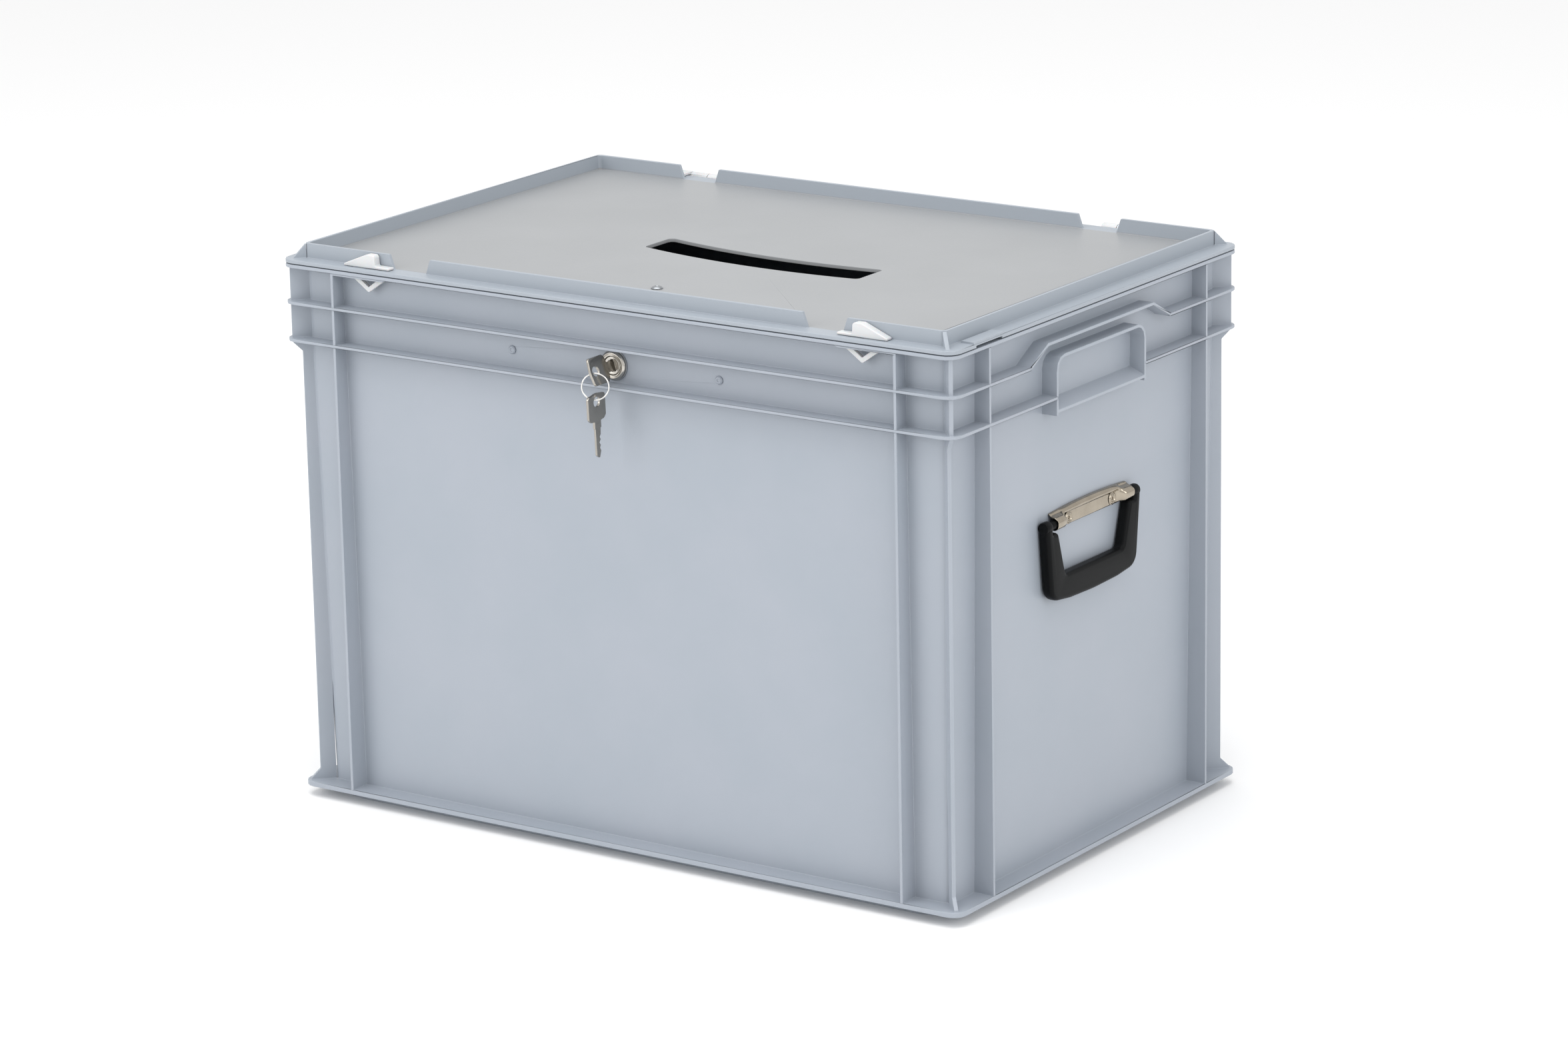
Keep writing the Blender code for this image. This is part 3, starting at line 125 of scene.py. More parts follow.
def outward(outline: Array) -> Array:
    """Mitred outward normals of a closed outline.

    Args:
        outline: The outline's points.

    Returns:
        At each point, the sum of its edges' normals, scaled so that moving by it shifts both edges by one.
    """
    edge = unit(np.roll(outline, -1, axis=0) - outline)
    normal = np.stack([edge[:, 1], -edge[:, 0]], axis=1)
    before = np.roll(normal, 1, axis=0)
    mitre = (normal + before) / np.maximum(1 + (normal * before).sum(1, keepdims=True), 0.35)
    x, y = outline.T
    area = (x * np.roll(y, -1) - np.roll(x, -1) * y).sum()
    return mitre * np.sign(area)


def resampled(outline: Array, count: int) -> Array:
    """Spread points evenly along a closed outline.

    Args:
        outline: The outline's points.
        count: How many points the new outline has.

    Returns:
        Points at equal steps of arc length.
    """
    closed = np.vstack([outline, outline[:1]])
    reach = np.concatenate([[0], np.cumsum(np.linalg.norm(np.diff(closed, axis=0), axis=1))])
    at = np.linspace(0, reach[-1], count, endpoint=False)
    return np.stack([np.interp(at, reach, closed[:, 0]), np.interp(at, reach, closed[:, 1])], axis=1)


def ribbon(path: Array, width: float) -> Array:
    """Outline of a band of one width along an open path.

    Args:
        path: The band's middle line.
        width: The band's width.

    Returns:
        The closed outline: the path moved to one side, then back along the other.
    """
    along = unit(np.gradient(path, axis=0))
    across = np.stack([-along[:, 1], along[:, 0]], axis=1) * width / 2
    return np.vstack([path + across, (path - across)[::-1]])


def edge_curve(low: float, high: float, edge: float, steps: int = 4) -> tuple[Array, Array]:
    """Quarter-round edges of a slab, as how far in and how high each of its rings lies.

    Args:
        low: Where the slab starts.
        high: Where it ends.
        edge: Radius of its edges.
        steps: Steps in each quarter round.

    Returns:
        The insets, edge * (1 - sin t), and the heights, edge * (1 - cos t) from each face.
    """
    angle = np.linspace(0, np.pi / 2, steps + 1)
    inset = edge * (1 - np.sin(angle))
    rise = edge * (1 - np.cos(angle))
    return np.concatenate([inset, inset[::-1]]), np.concatenate([low + rise, (high - rise)[::-1]])


def ring_grid(outline: Array, insets: Array, heights: Array, plane: Plane) -> Array:
    """Grid of an outline's copies: P(u, v) = outline(u) - normal(u) * inset(v), at height(v).

    Args:
        outline: The outline's points.
        insets: How far in each copy lies.
        heights: Where each copy lies along the plane's depth.
        plane: The plane that the outline is drawn in.

    Returns:
        Points in space, with one row for each copy.
    """
    flat = outline[None] - outward(outline)[None] * insets[:, None, None]
    depth = np.broadcast_to(heights[:, None, None], (*flat.shape[:2], 1))
    return np.concatenate([flat, depth], axis=2) @ np.array(plane.value, float)


def turned_grid(profile: Array, start: Array, direction: Array, segments: int = 48) -> Array:
    """Surface of revolution: P(u, v) = start + direction * height(v) + circle(u) * radius(v).

    Args:
        profile: Rows of radius and height.
        start: Point on the axis where the height is zero.
        direction: Where the height grows.
        segments: Steps round the axis.

    Returns:
        Points in space, with one row for each point of the profile.
    """
    axis = unit(np.array(direction, float))
    helper = np.array([0.0, 0.0, 1.0]) if abs(axis[2]) < 0.9 else np.array([1.0, 0.0, 0.0])
    first = unit(np.cross(axis, helper))
    second = np.cross(axis, first)
    angle = np.linspace(0, 2 * np.pi, segments, endpoint=False)
    circle = np.cos(angle)[:, None] * first + np.sin(angle)[:, None] * second
    middle = np.array(start, float) + profile[:, 1:, None] * axis
    return middle + profile[:, :1, None] * circle[None]


def soft_profile(points: list[tuple[float, float]], radius: float) -> Array:
    """Profile of a turned piece with each of its inner corners rounded.

    Args:
        points: Rows of radius and height.
        radius: Size of the rounding, at most 0.4 of the shorter edge beside it.

    Returns:
        The profile with three points at each corner: P(t) is the corner's quadratic Bezier curve.
    """
    table = np.array(points, float)
    here, before, after = table[1:-1], table[:-2], table[2:]
    back, ahead = before - here, after - here
    reach_back = np.minimum(radius, 0.4 * np.linalg.norm(back, axis=1, keepdims=True))
    reach_ahead = np.minimum(radius, 0.4 * np.linalg.norm(ahead, axis=1, keepdims=True))
    start, end = here + unit(back) * reach_back, here + unit(ahead) * reach_ahead
    middle = start * 0.25 + here * 0.5 + end * 0.25
    bends = np.stack([start, middle, end], axis=1).reshape(-1, 2)
    return np.vstack([table[:1], bends, table[-1:]])


@dataclass
class Shape:
    """Gathers closed surfaces, in millimetres, and turns them into one object."""

    points: list[Array] = field(default_factory=list)
    faces: list[list[int]] = field(default_factory=list)
    count: int = 0

    def add(self, grid: Array, loop_rows: bool = False, caps: bool = False) -> "Shape":
        """Add a grid of points whose columns close into rings.

        Args:
            grid: Points in space, as rows of rings.
            loop_rows: Whether the last row joins the first.
            caps: Whether the first and last rows are filled.

        Returns:
            This shape.
        """
        rows, columns = grid.shape[:2]
        index = np.arange(rows * columns).reshape(rows, columns) + self.count
        below = index if loop_rows else index[:-1]
        above = np.roll(index, -1, axis=0) if loop_rows else index[1:]
        right = (np.roll(below, -1, axis=1), np.roll(above, -1, axis=1))
        quads = np.stack([below, right[0], right[1], above], axis=2).reshape(-1, 4)
        self.faces += quads.tolist()
        if caps:
            self.faces += [index[0][::-1].tolist(), index[-1].tolist()]
        self.points.append(grid.reshape(-1, 3))
        self.count += rows * columns
        return self

    def slab(self, outline: Array, low: float, high: float, edge: float, plane: Plane) -> "Shape":
        """Add an outline given depth from low to high, with rounded edges."""
        return self.add(ring_grid(outline, *edge_curve(low, high, edge), plane), caps=True)

    def hollow_slab(
        self, outer: Array, inner: Array, low: float, high: float, edge: float, plane: Plane
    ) -> "Shape":
        """Add a slab with one hole: its rings run up the outside and down the hole's wall."""
        insets, heights = edge_curve(low, high, edge)
        count = max(len(outer), 48)
        outside = ring_grid(resampled(outer, count), insets, heights, plane)
        inside = ring_grid(resampled(inner, count), -insets[::-1], heights[::-1], plane)
        return self.add(np.concatenate([outside, inside]), loop_rows=True)

    def turned(self, profile: Array, start: Array, direction: Array, loop: bool = False) -> "Shape":
        """Add a surface of revolution, whose profile ends on the axis or joins its own start."""
        return self.add(turned_grid(profile, start, direction), loop_rows=loop)

    def moved(self, place: Matrix) -> "Shape":
        """Turn and shift all that has been added."""
        table = np.array(place, float)
        self.points = [p @ table[:3, :3].T + table[:3, 3] for p in self.points]
        return self

    def make(self, name: str, sharp_degrees: float = 40) -> bpy.types.Object:
        """Make the object, with poles merged, faces outwards and sharp edges kept.

        Args:
            name: The object's name.
            sharp_degrees: Edges that bend more than this stay sharp.

        Returns:
            The new object, at the origin.
        """
        mesh = bpy.data.meshes.new(name)
        mesh.from_pydata((np.vstack(self.points) * MM).tolist(), [], self.faces)
        bm = bmesh.new()
        bm.from_mesh(mesh)
        bmesh.ops.remove_doubles(bm, verts=bm.verts, dist=1e-7)
        bmesh.ops.recalc_face_normals(bm, faces=bm.faces)
        bm.to_mesh(mesh)
        bm.free()
        mesh.shade_smooth()
        mesh.set_sharp_from_angle(angle=np.radians(sharp_degrees))
        made = bpy.data.objects.new(name, mesh)
        bpy.context.scene.collection.objects.link(made)
        return made


def softened_node(node: str, name: str, width: float, sharp_degrees: float = 24) -> bpy.types.Object:
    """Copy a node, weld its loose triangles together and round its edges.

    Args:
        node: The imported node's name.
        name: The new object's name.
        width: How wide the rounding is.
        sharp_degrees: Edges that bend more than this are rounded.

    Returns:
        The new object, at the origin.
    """
    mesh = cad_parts[node].data.copy()
    mesh.name = name
    mesh.materials.clear()
    bm = bmesh.new()
    bm.from_mesh(mesh)
    bmesh.ops.remove_doubles(bm, verts=bm.verts, dist=1e-6)
    bm.to_mesh(mesh)
    bm.free()
    mesh.shade_smooth()
    made = bpy.data.objects.new(name, mesh)
    bpy.context.scene.collection.objects.link(made)
    bevel = made.modifiers.new("soft_edges", "BEVEL")
    bevel.width = width * MM
    bevel.segments = 2
    bevel.limit_method = "ANGLE"
    bevel.angle_limit = np.radians(sharp_degrees)
    bevel.use_clamp_overlap = False
    bevel.miter_outer = "MITER_ARC"
    weight = made.modifiers.new("flat_faces", "WEIGHTED_NORMAL")
    weight.keep_sharp = True
    return made


# ---------------------------------------------------------------- finishes


def linear(hex_colour: str) -> tuple[float, float, float, float]:
    """Turn an sRGB hex colour into a linear one.

    Args:
        hex_colour: Six hex digits.

    Returns:
        Linear red, green, blue and an alpha of one.
    """
    value = np.array([int(hex_colour[i : i + 2], 16) for i in (0, 2, 4)]) / 255
    value = np.where(value <= 0.04045, value / 12.92, ((value + 0.055) / 1.055) ** 2.4)
    return (*value.tolist(), 1.0)


def add_node(tree: bpy.types.NodeTree, kind: str, settings: dict, links: dict) -> bpy.types.Node:
    """Add a shader node with its settings and links.

    Args:
        tree: The material's node tree.
        kind: The node's type.
        settings: Socket values, by socket name, or properties of the node.
        links: Output sockets, by the name of the input that each goes to.

    Returns:
        The new node.
    """
    made = tree.nodes.new(kind)
    for key, value in settings.items():
        if key in made.inputs:
            made.inputs[key].default_value = value
        else:
            setattr(made, key, value)
    for key, socket in links.items():
        tree.links.new(socket, made.inputs[key])
    return made


@dataclass(frozen=True)
class Finish:
    """Base of every finish: a Principled surface with a grain in its colour, gloss and relief."""

    name: str
    colour: str
    tint: str
    roughness: float
    spread: float = 0.05
    metallic: float = 0.0
    grain: float = 0.8
    relief: float = 0.02
    cloud: float = 90.0
    stretch: tuple[float, float, float] = (1.0, 1.0, 1.0)
    subsurface: float = 0.0
    specular: float = 0.5
    border_colour: str = ""
    border: tuple[float, float, float] = (0.0, 0.0, 0.0)
    border_blend: float = 0.2

    def beyond_border(self, tree: bpy.types.NodeTree, where: bpy.types.NodeSocket) -> bpy.types.NodeSocket:
        """Share that is 1 beyond the border box, measured from the object's own origin, and 0 inside it."""
        parts = add_node(tree, "ShaderNodeSeparateXYZ", {}, {"Vector": where})
        share = None
        for name, limit in zip("XYZ", self.border):
            place = {0: parts.outputs[name]}
            size = add_node(tree, "ShaderNodeMath", {"operation": "ABSOLUTE"}, place).outputs[0]
            edge = {"From Min": limit * MM, "From Max": (limit + self.border_blend) * MM}
            over = add_node(tree, "ShaderNodeMapRange", edge, {"Value": size}).outputs["Result"]
            if share is None:
                share = over
            else:
                both = {0: share, 1: over}
                share = add_node(tree, "ShaderNodeMath", {"operation": "MAXIMUM"}, both).outputs[0]
        return share

    def make(self) -> bpy.types.Material:
        """Build the material.

        Returns:
            The material: clouds of tint over its colour, and a fine grain for relief and gloss.
        """
        made = bpy.data.materials.new(self.name)
        made.use_nodes = True
        tree = made.node_tree
        shader = tree.nodes["Principled BSDF"]
        where = add_node(tree, "ShaderNodeTexCoord", {}, {}).outputs["Object"]
        lengths = add_node(tree, "ShaderNodeMapping", {"Scale": self.stretch}, {"Vector": where}).outputs[0]
        cloud_scale = {"Scale": 1 / (self.cloud * MM), "Detail": 3.0, "Roughness": 0.55}
        cloud = add_node(tree, "ShaderNodeTexNoise", cloud_scale, {"Vector": where}).outputs["Fac"]
        grain_scale = {"Scale": 1 / (self.grain * MM), "Detail": 4.0, "Roughness": 0.6}
        grain = add_node(tree, "ShaderNodeTexNoise", grain_scale, {"Vector": lengths}).outputs["Fac"]
        ramp = {"From Min": 0.35, "From Max": 0.65}
        share = add_node(tree, "ShaderNodeMapRange", ramp, {"Value": cloud}).outputs["Result"]
        colours = {"data_type": "RGBA"}
        mix = add_node(tree, "ShaderNodeMix", colours, {"Factor": share})
        mix.inputs[6].default_value = linear(self.colour)
        mix.inputs[7].default_value = linear(self.tint)
        colour = mix.outputs[2]
        if self.border_colour:
            around = add_node(tree, "ShaderNodeMix", colours, {"Factor": self.beyond_border(tree, where)})
            tree.links.new(colour, around.inputs[6])
            around.inputs[7].default_value = linear(self.border_colour)
            colour = around.outputs[2]
        tree.links.new(colour, shader.inputs["Base Color"])
        gloss = {"To Min": self.roughness - self.spread, "To Max": self.roughness + self.spread}
        rough = add_node(tree, "ShaderNodeMapRange", gloss, {"Value": grain}).outputs["Result"]
        tree.links.new(rough, shader.inputs["Roughness"])
        height = {"Strength": 0.35, "Distance": self.relief * MM}
        bump = add_node(tree, "ShaderNodeBump", height, {"Height": grain})
        tree.links.new(bump.outputs["Normal"], shader.inputs["Normal"])
        shader.inputs["Metallic"].default_value = self.metallic
        shader.inputs["Specular IOR Level"].default_value = self.specular
        shader.inputs["Subsurface Weight"].default_value = self.subsurface
        shader.inputs["Subsurface Scale"].default_value = 0.004
        return made


# Injection-moulded polypropylene: a satin skin with a very fine grain and faint flow clouds
TUB_POLYPROPYLENE = Finish(
    "moulded_polypropylene_blue_grey", "969DA6", "999FA8", 0.42, grain=1.2, relief=0.03
)
# The lid's plate is a neutral grey; its upright frame and the ledge round it have the tub's blue cast
LID_POLYPROPYLENE = Finish(
    "moulded_polypropylene_grey",
    "8D8F91",
    "909294",
    0.4,
    grain=1.2,
    relief=0.03,
    border_colour="959CA4",
    border=(283.4, 185.4, 425.0),
)
# Acetal snap parts: bright white, slightly waxy
WHITE_ACETAL = Finish("moulded_acetal_white", "C3C5C6", "C9CACB", 0.34, grain=0.7, subsurface=0.15)
# Glass-filled nylon grip: near black, with a fine eroded texture that kills most of its gloss
BLACK_NYLON = Finish(
    "moulded_nylon_black", "0F1011", "131415", 0.36, spread=0.08, grain=0.9, relief=0.04, specular=0.07
)
# Nickel plate over pressed steel: warm and bright, with a fine orange-peel ripple
NICKEL_PLATE = Finish(
    "nickel_plate", "9A9183", "A49B8D", 0.14, spread=0.05, metallic=1.0, grain=0.9, relief=0.006, cloud=12.0
)
# Polished nickel on the lock: nearly neutral
LOCK_NICKEL = Finish(
    "polished_nickel", "B6B2AB", "BFBBB4", 0.2, spread=0.06, metallic=1.0, grain=0.8, relief=0.006, cloud=10.0
)
# The keys' flat bows are darker, and the spring-steel ring is brighter
KEY_NICKEL = Finish(
    "key_nickel", "9B9790", "A5A19A", 0.24, spread=0.06, metallic=1.0, grain=0.8, relief=0.006
)
RING_STEEL = Finish("ring_steel", "DAD9D6", "E0DFDC", 0.18, metallic=1.0, grain=0.8, relief=0.004)
# Zinc-plated steel: cooler and duller
ZINC_PLATE = Finish(
    "zinc_plate", "909499", "A0A3A6", 0.34, spread=0.1, metallic=1.0, grain=1.4, relief=0.01, cloud=16.0
)


@dataclass
class Dresser:
    """Makes each finish once and hangs each piece on the empty of its body."""

    made: dict[str, bpy.types.Material] = field(default_factory=dict)

    def material(self, finish: Finish) -> bpy.types.Material:
        """The finish's material, made at its first use."""
        if finish.name not in self.made:
            self.made[finish.name] = finish.make()
        return self.made[finish.name]

    def dress(self, piece: bpy.types.Object, finish: Finish, body: str, slot: str, *nodes: str) -> None:
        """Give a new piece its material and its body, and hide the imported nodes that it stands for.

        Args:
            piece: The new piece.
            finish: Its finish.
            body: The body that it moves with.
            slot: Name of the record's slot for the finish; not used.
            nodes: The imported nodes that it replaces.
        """
        piece.data.materials.append(self.material(finish))
        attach(piece, body)
        if nodes:
            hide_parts(*nodes)
        log.info("%s rides on %s", piece.name, body)


def corner(node: str, top: bool) -> Array:
    """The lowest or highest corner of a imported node, in millimetres."""
    return np.array(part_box(node)[int(top)], float) / MM


def middle(node: str) -> Array:
    """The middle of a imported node's box, in millimetres."""
    return (corner(node, False) + corner(node, True)) / 2


# ---------------------------------------------------------------- sub-assemblies

SECTION_POINTS = 44


@dataclass
class Mouldings:
    """The tub and the lid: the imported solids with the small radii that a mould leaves."""

    dresser: Dresser
    edge: float = 0.4

    def build(self) -> None:
        """Round and dress the two large mouldings."""
        tub = softened_node("container_body", "tub_moulding", self.edge)
        self.dresser.dress(tub, TUB_POLYPROPYLENE, "box", "container_plastic", "container_body")
        lid = softened_node("lid", "lid_moulding", self.edge)
        self.dresser.dress(lid, LID_POLYPROPYLENE, "lid", "lid_plastic", "lid")


@dataclass
class Latch:
    """Sliding snap latch: a thumb wedge with a tail, a neck, and a V loop with a tongue in it."""

    dresser: Dresser
    side: Side
    wedge_height: float = 10.3
    lid_thickness: float = 2.9
    gap: float = 0.3
    loop_front: float = 1.0
    loop_depth: float = 3.6
    loop_half: float = 15.5
    loop_side: float = 4.5
    loop_wall: float = 4.6
    tip_drop: float = 0.5
    tip_wall: float = 4.2
    strip: float = 3.2
    inner_reach: float = 20.5
    outer_reach: float = 21.8
    edge: float = 0.6

    def at(self, outwards: float) -> float:
        """Place along X of a point that lies outwards of the latch's middle."""
        low, high = corner(f"latch_{self.side.word}", False), corner(f"latch_{self.side.word}", True)
        inner = low[0] if self.side is Side.RIGHT else high[0]
        return inner + self.side.value * (outwards + self.inner_reach)

    def build(self) -> None:
        """Make the latch as one piece of four closed shapes."""
        node = f"latch_{self.side.word}"
        low, high = corner(node, False), corner(node, True)
        base = high[2] - self.wedge_height
        wedge = filleted(
            [
                (self.at(self.outer_reach), base, 0.65),
                (self.at(self.outer_reach), base + 1.6, 0.7),
                (self.at(0.4), base + self.wedge_height, 3.0),
                (self.at(-7.2), base + self.wedge_height, 2.6),
                (self.at(-7.6), base + 2.1, 1.4),
                (self.at(-self.inner_reach), base + 1.9, 0.8),
                (self.at(-self.inner_reach), base, 0.65),
            ]
        )
        shape = Shape().slab(wedge, low[1], high[1], self.edge, Plane.FRONT)
        loop_top = base - self.lid_thickness - 2 * self.gap
        tip = low[2] - self.tip_drop
        half = self.loop_half
        outer = [(self.at(-half), loop_top, 0.5), (self.at(half), loop_top, 0.5)]
        side_low = loop_top - self.loop_side
        outer += [(self.at(half), side_low, 0.8), (self.at(0), tip, 1.5), (self.at(-half), side_low, 0.8)]
        hole = half - self.loop_wall
        shelf = loop_top - self.strip
        inner = [(self.at(-hole), shelf, 0.5), (self.at(hole), shelf, 0.5)]
        inner += [(self.at(0), tip + self.tip_wall, 0.7)]
        near = low[1] + self.loop_front
        far = near + self.loop_depth
        shape.hollow_slab(filleted(outer, 10), filleted(inner, 10), near, far, 0.5, Plane.FRONT)
        tongue = [
            (self.at(-5.6), shelf + 0.6, 0.45),
            (self.at(4.0), shelf + 0.6, 0.45),
            (self.at(-1.2), shelf - 3.6, 0.8),
        ]
        shape.slab(filleted(tongue), near + 0.4, far - 0.4, 0.4, Plane.FRONT)
        neck = [
            (self.at(2), loop_top - 0.5, 0.25),
            (self.at(14), loop_top - 0.5, 0.25),
            (self.at(14), base + 0.5, 0.25),
            (self.at(2), base + 0.5, 0.25),
        ]
        shape.slab(filleted(neck), near + 0.3, far - 0.3, 0.2, Plane.FRONT)
        piece = shape.make(f"snap_latch_{self.side.word}")
        self.dresser.dress(piece, WHITE_ACETAL, node, "white_plastic", node)


@dataclass
class Hinge:
    """Rear hinge: clip, leaf and pin, with their edges rounded."""

    dresser: Dresser
    side: Side

    def build(self) -> None:
        """Round and dress the clip and the leaf, and turn the pin with domed ends."""
        word = self.side.word
        clip = softened_node(f"hinge_base_{word}", f"hinge_clip_{word}", 0.3, 35)
        self.dresser.dress(clip, WHITE_ACETAL, "box", "white_plastic", f"hinge_base_{word}")
        leaf = softened_node(f"hinge_leaf_{word}", f"hinge_lid_leaf_{word}", 0.3, 35)
        self.dresser.dress(leaf, WHITE_ACETAL, "lid", "white_plastic", f"hinge_leaf_{word}")
        node = f"hinge_pin_{word}"
        low, high = corner(node, False), corner(node, True)
        radius = (high[2] - low[2]) / 2
        length = high[0] - low[0]
        profile = soft_profile([(0, 0), (radius, 0), (radius, length), (0, length)], 0.6)
        start = np.array([low[0], *middle(node)[1:]])
        pin = Shape().turned(profile, start, [1, 0, 0]).make(f"hinge_rod_{word}")
        self.dresser.dress(pin, ZINC_PLATE, "box", "zinc_steel", node)


@dataclass
class Lock:
    """Cam lock: stepped collar, plug with its keyway, washer, nut, cam and the keeper on the lid."""

    dresser: Dresser
    collar: float = 11.0
    barrel: float = 9.4
    plug_radius: float = 7.0
    running_gap: float = 0.25
    thread_pitch: float = 1.5
    keyway_half: float = 2.0
    keyway_tall: float = 4.3
    keyway_depth: float = 22.5

    def front_turned(
        self, profile: list[tuple[float, float]], start_y: float, soften: float, loop: bool
    ) -> Shape:
        """Shape turned about the lock's axis, with heights that run back from start_y."""
        axis = middle("lock_housing")
        rows = profile + profile[:1] if loop else profile
        table = soft_profile(rows, soften)
        table = table[:-1] if loop else table
        return Shape().turned(table, np.array([axis[0], start_y, axis[2]]), [0, 1, 0], loop)

    def housing(self) -> None:
        """Collar with a chamfer and a groove round the plug, on a barrel with thread ridges."""
        face = corner("lock_housing", False)[1]
        depth = corner("lock_housing", True)[1] - face
        bore = self.plug_radius + self.running_gap
        turns = int((depth - 6) / self.thread_pitch)
        ridge = np.arange(turns)[::-1] * self.thread_pitch + 4.5
        crests = [(self.barrel, r + 0.75) for r in ridge]
        roots = [(self.barrel - 0.7, r) for r in ridge]
        thread = [pair for both in zip(crests, roots) for pair in both]
        profile = [(self.barrel - 0.6, depth), *thread, (self.barrel - 0.2, 2.6), (self.collar, 2.6)]
        profile += [(self.collar, 1.3), (self.collar - 1.5, 0.1), (self.collar - 1.9, 0.1)]
        profile += [(self.collar - 2.1, 0.9), (self.collar - 2.5, 0.9), (self.collar - 2.7, 0.0)]
        profile += [(bore + 0.3, 0.0), (bore, 0.4), (bore, depth)]
        piece = self.front_turned(profile, face, 0.25, True).make("lock_collar")
        self.dresser.dress(piece, LOCK_NICKEL, "box", "nickel", "lock_housing")

    def plug(self) -> None:
        """Turning core with a dished face; its keyway is cut at the key's angle."""
        low, high = corner("lock_plug", False)[1], corner("lock_plug", True)[1]
        reach = high - low
        profile = [(0, 0.5), (4.2, 0.5), (5.0, 0.0), (6.5, 0.0), (self.plug_radius, 0.5)]
        profile += [(self.plug_radius, reach - 2.3), (3.0, reach - 2.3), (3.0, reach), (0, reach)]
        piece = self.front_turned(profile, low, 0.2, False).make("lock_core")
        axis = middle("lock_housing")
        half, tall = self.keyway_half, self.keyway_tall
        keyway = filleted([(-half, -tall, 0.3), (half, -tall, 0.3), (half, tall, 0.3), (-half, tall, 0.3)])
        cutter = Shape().slab(keyway, low - 2, low + self.keyway_depth, 0.05, Plane.FRONT)
        place = Matrix.Translation((axis[0], 0, axis[2])) @ Matrix.Rotation(KEY_TURN, 4, (0, -1, 0))
        tool = cutter.moved(place).make("keyway_tool")
        cut = piece.modifiers.new("keyway", "BOOLEAN")
        cut.operation = "DIFFERENCE"
        cut.object = tool
        cut.solver = "EXACT"
        bake(piece)
        bpy.data.objects.remove(tool)
        self.dresser.dress(piece, LOCK_NICKEL, "plug", "nickel", "lock_plug")

    def fixings(self) -> None:
        """Washer, hexagon nut, cam with its screw, and the keeper with its nut."""
        start = corner("lock_washer", False)[1]
        thick = corner("lock_washer", True)[1] - start
        wide = (corner("lock_washer", True)[0] - corner("lock_washer", False)[0]) / 2
        profile = [(wide, thick), (wide, 0), (self.barrel + 0.3, 0), (self.barrel + 0.3, thick)]
        piece = self.front_turned(profile, start, 0.15, True).make("spring_washer")
        self.dresser.dress(piece, ZINC_PLATE, "box", "zinc_steel", "lock_washer")
        for node, name, body in (
            ("lock_nut", "barrel_nut", "box"),
            ("lock_cam", "locking_cam", "plug"),
            ("keeper", "cam_keeper", "lid"),
            ("keeper_nut", "keeper_hex_nut", "lid"),
            ("stiffener_bar", "front_stiffener", "box"),
            ("wall_nut_left", "wall_hex_nut_left", "box"),
            ("wall_nut_right", "wall_hex_nut_right", "box"),
        ):
            piece = softened_node(node, name, 0.25, 35)
            self.dresser.dress(piece, ZINC_PLATE, body, "zinc_steel", node)
        start = corner("lock_cam_screw", False)[1]
        profile = [(0, 2.0), (3.2, 2.0), (4.2, 1.1), (4.2, 0), (0, 0)]
        piece = self.front_turned(profile, start, 0.4, False).make("cam_fixing_screw")
        self.dresser.dress(piece, ZINC_PLATE, "plug", "zinc_steel", "lock_cam_screw")

    def build(self) -> None:
        """Make every piece of the lock."""
        self.housing()
        self.plug()
        self.fixings()


def bake(piece: bpy.types.Object) -> None:
    """Apply an object's modifiers and keep its shading.

    Args:
        piece: The object, whose mesh is replaced by its evaluated one.
    """
    graph = bpy.context.evaluated_depsgraph_get()
    result = bpy.data.meshes.new_from_object(piece.evaluated_get(graph))
    piece.modifiers.clear()
    piece.data = result


